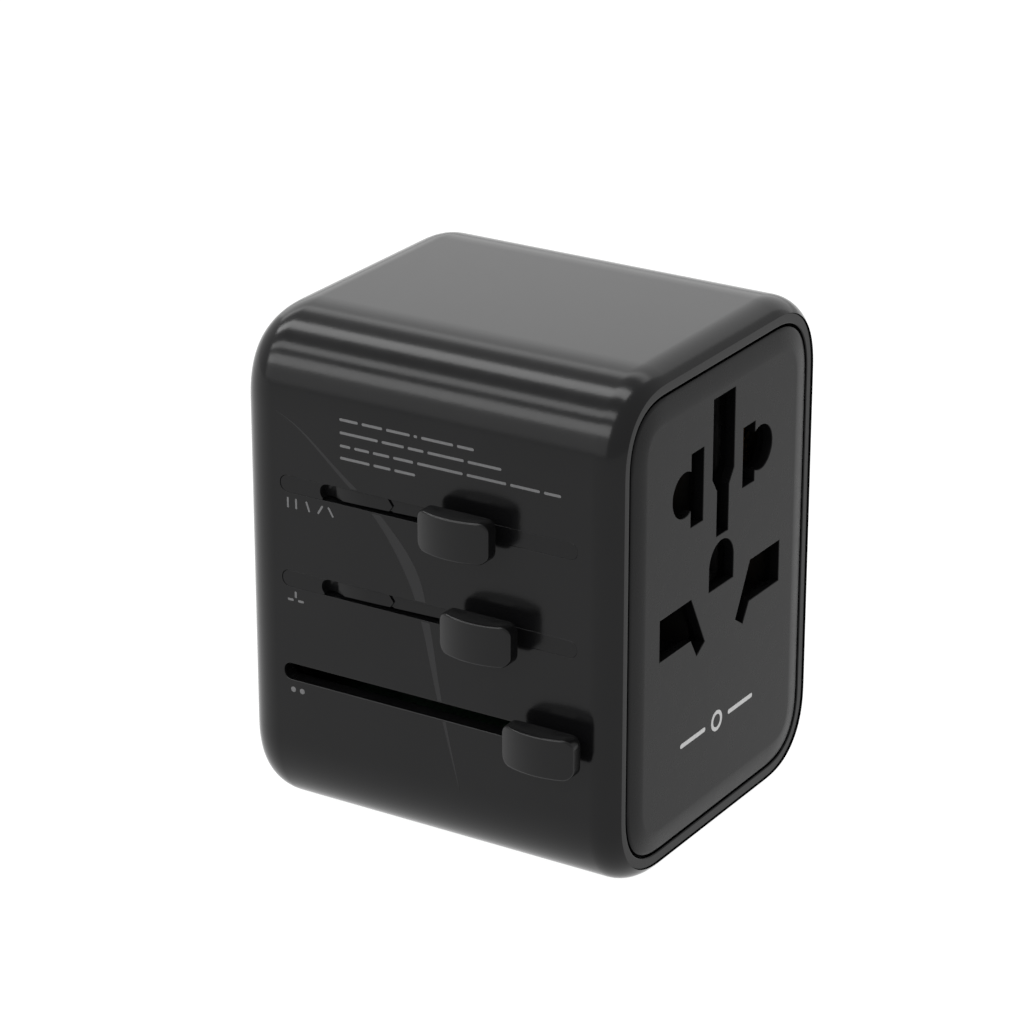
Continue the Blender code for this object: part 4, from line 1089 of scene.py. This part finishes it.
def make_camera():
    """A long lens, turned round Z by its azimuth and looking down by its elevation."""
    camera = bpy.data.objects.new("camera", bpy.data.cameras.new("camera"))
    bpy.context.scene.collection.objects.link(camera)
    camera.data.sensor_width = 36.0
    camera.data.lens = CAMERA_LENS
    camera.data.clip_start = 0.01
    camera.data.clip_end = 20.0
    azimuth, elevation = math.radians(CAMERA_AZIMUTH), math.radians(CAMERA_ELEVATION)
    level = math.cos(elevation)
    back = Vector((math.sin(azimuth) * level, -math.cos(azimuth) * level, math.sin(elevation)))
    right = Vector((math.cos(azimuth), math.sin(azimuth), 0))
    up = back.cross(right)
    turn = Matrix((right, up, back)).transposed().to_4x4()
    camera.matrix_world = Matrix.Translation(CAMERA_AT) @ turn
    bpy.context.scene.camera = camera


def strip_light(name, turn, width, strength):
    """A long softbox that runs along Y. Its turn round the Y axis, from +X, and its width are in degrees."""
    t = math.radians(turn)
    at = (LIGHT_DISTANCE * math.cos(t), LIGHT_MIDDLE_Y, LIGHT_DISTANCE * math.sin(t))
    across = 2 * LIGHT_DISTANCE * math.tan(math.radians(width / 2))
    data = bpy.data.lights.new(name, "AREA")
    data.shape = "RECTANGLE"
    data.size, data.size_y = across, LIGHT_LENGTH
    data.energy = strength * math.pi * across * LIGHT_LENGTH
    light = bpy.data.objects.new(name, data)
    inwards = Vector((math.cos(t), 0, math.sin(t)))
    along = Vector((0, 1, 0))
    turn_to = Matrix((along.cross(inwards), along, inwards)).transposed().to_4x4()
    light.matrix_world = Matrix.Translation(at) @ turn_to
    bpy.context.scene.collection.objects.link(light)


def make_floor():
    """A white floor that gives its own light, so that shadows hardly show on it."""
    floor_bm = bmesh.new()
    bmesh.ops.create_grid(floor_bm, x_segments=1, y_segments=1, size=FLOOR_HALF)
    mesh = bpy.data.meshes.new("floor")
    floor_bm.to_mesh(mesh)
    floor_bm.free()
    paint, tree, shader = shader_tree("floor_white")
    shader.inputs["Roughness"].default_value = 0.9
    shader.inputs["Specular IOR Level"].default_value = 0.0
    shader.inputs["Base Color"].default_value = (0.06, 0.06, 0.06, 1)
    shader.inputs["Emission Strength"].default_value = 1.0
    pale = noise(tree, 3.0, 2.0)
    tree.links.new(ramp(tree, pale.outputs["Fac"], 0.99, 1.0), shader.inputs["Emission Color"])
    mesh.materials.append(paint)
    floor = bpy.data.objects.new("floor", mesh)
    floor.location.z = -FLOOR_DROP
    bpy.context.scene.collection.objects.link(floor)


def make_studio():
    """A pale surround and strips of soft light, whose reflections draw the black forms."""
    world = bpy.data.worlds.new("studio")
    world.use_nodes = True
    world.node_tree.nodes["Background"].inputs["Color"].default_value = (1, 1, 1, 1)
    world.node_tree.nodes["Background"].inputs["Strength"].default_value = 0.8
    bpy.context.scene.world = world
    strip_light("back_wall_box", 32, 44, 0.7)
    strip_light("back_strip", 53, 11, 1.5)
    strip_light("top_strip", 87, 15, 6.3)
    strip_light("side_strip_high", 123, 10, 5.2)
    strip_light("side_strip_low", 145, 14, 5.2)
    strip_light("side_glow", 163, 24, 0.9)
    bpy.context.scene.view_settings.view_transform = "Standard"


finish_inside()
build_outside()
build_sliders()
build_pins()
build_ports()
make_camera()
make_floor()
make_studio()
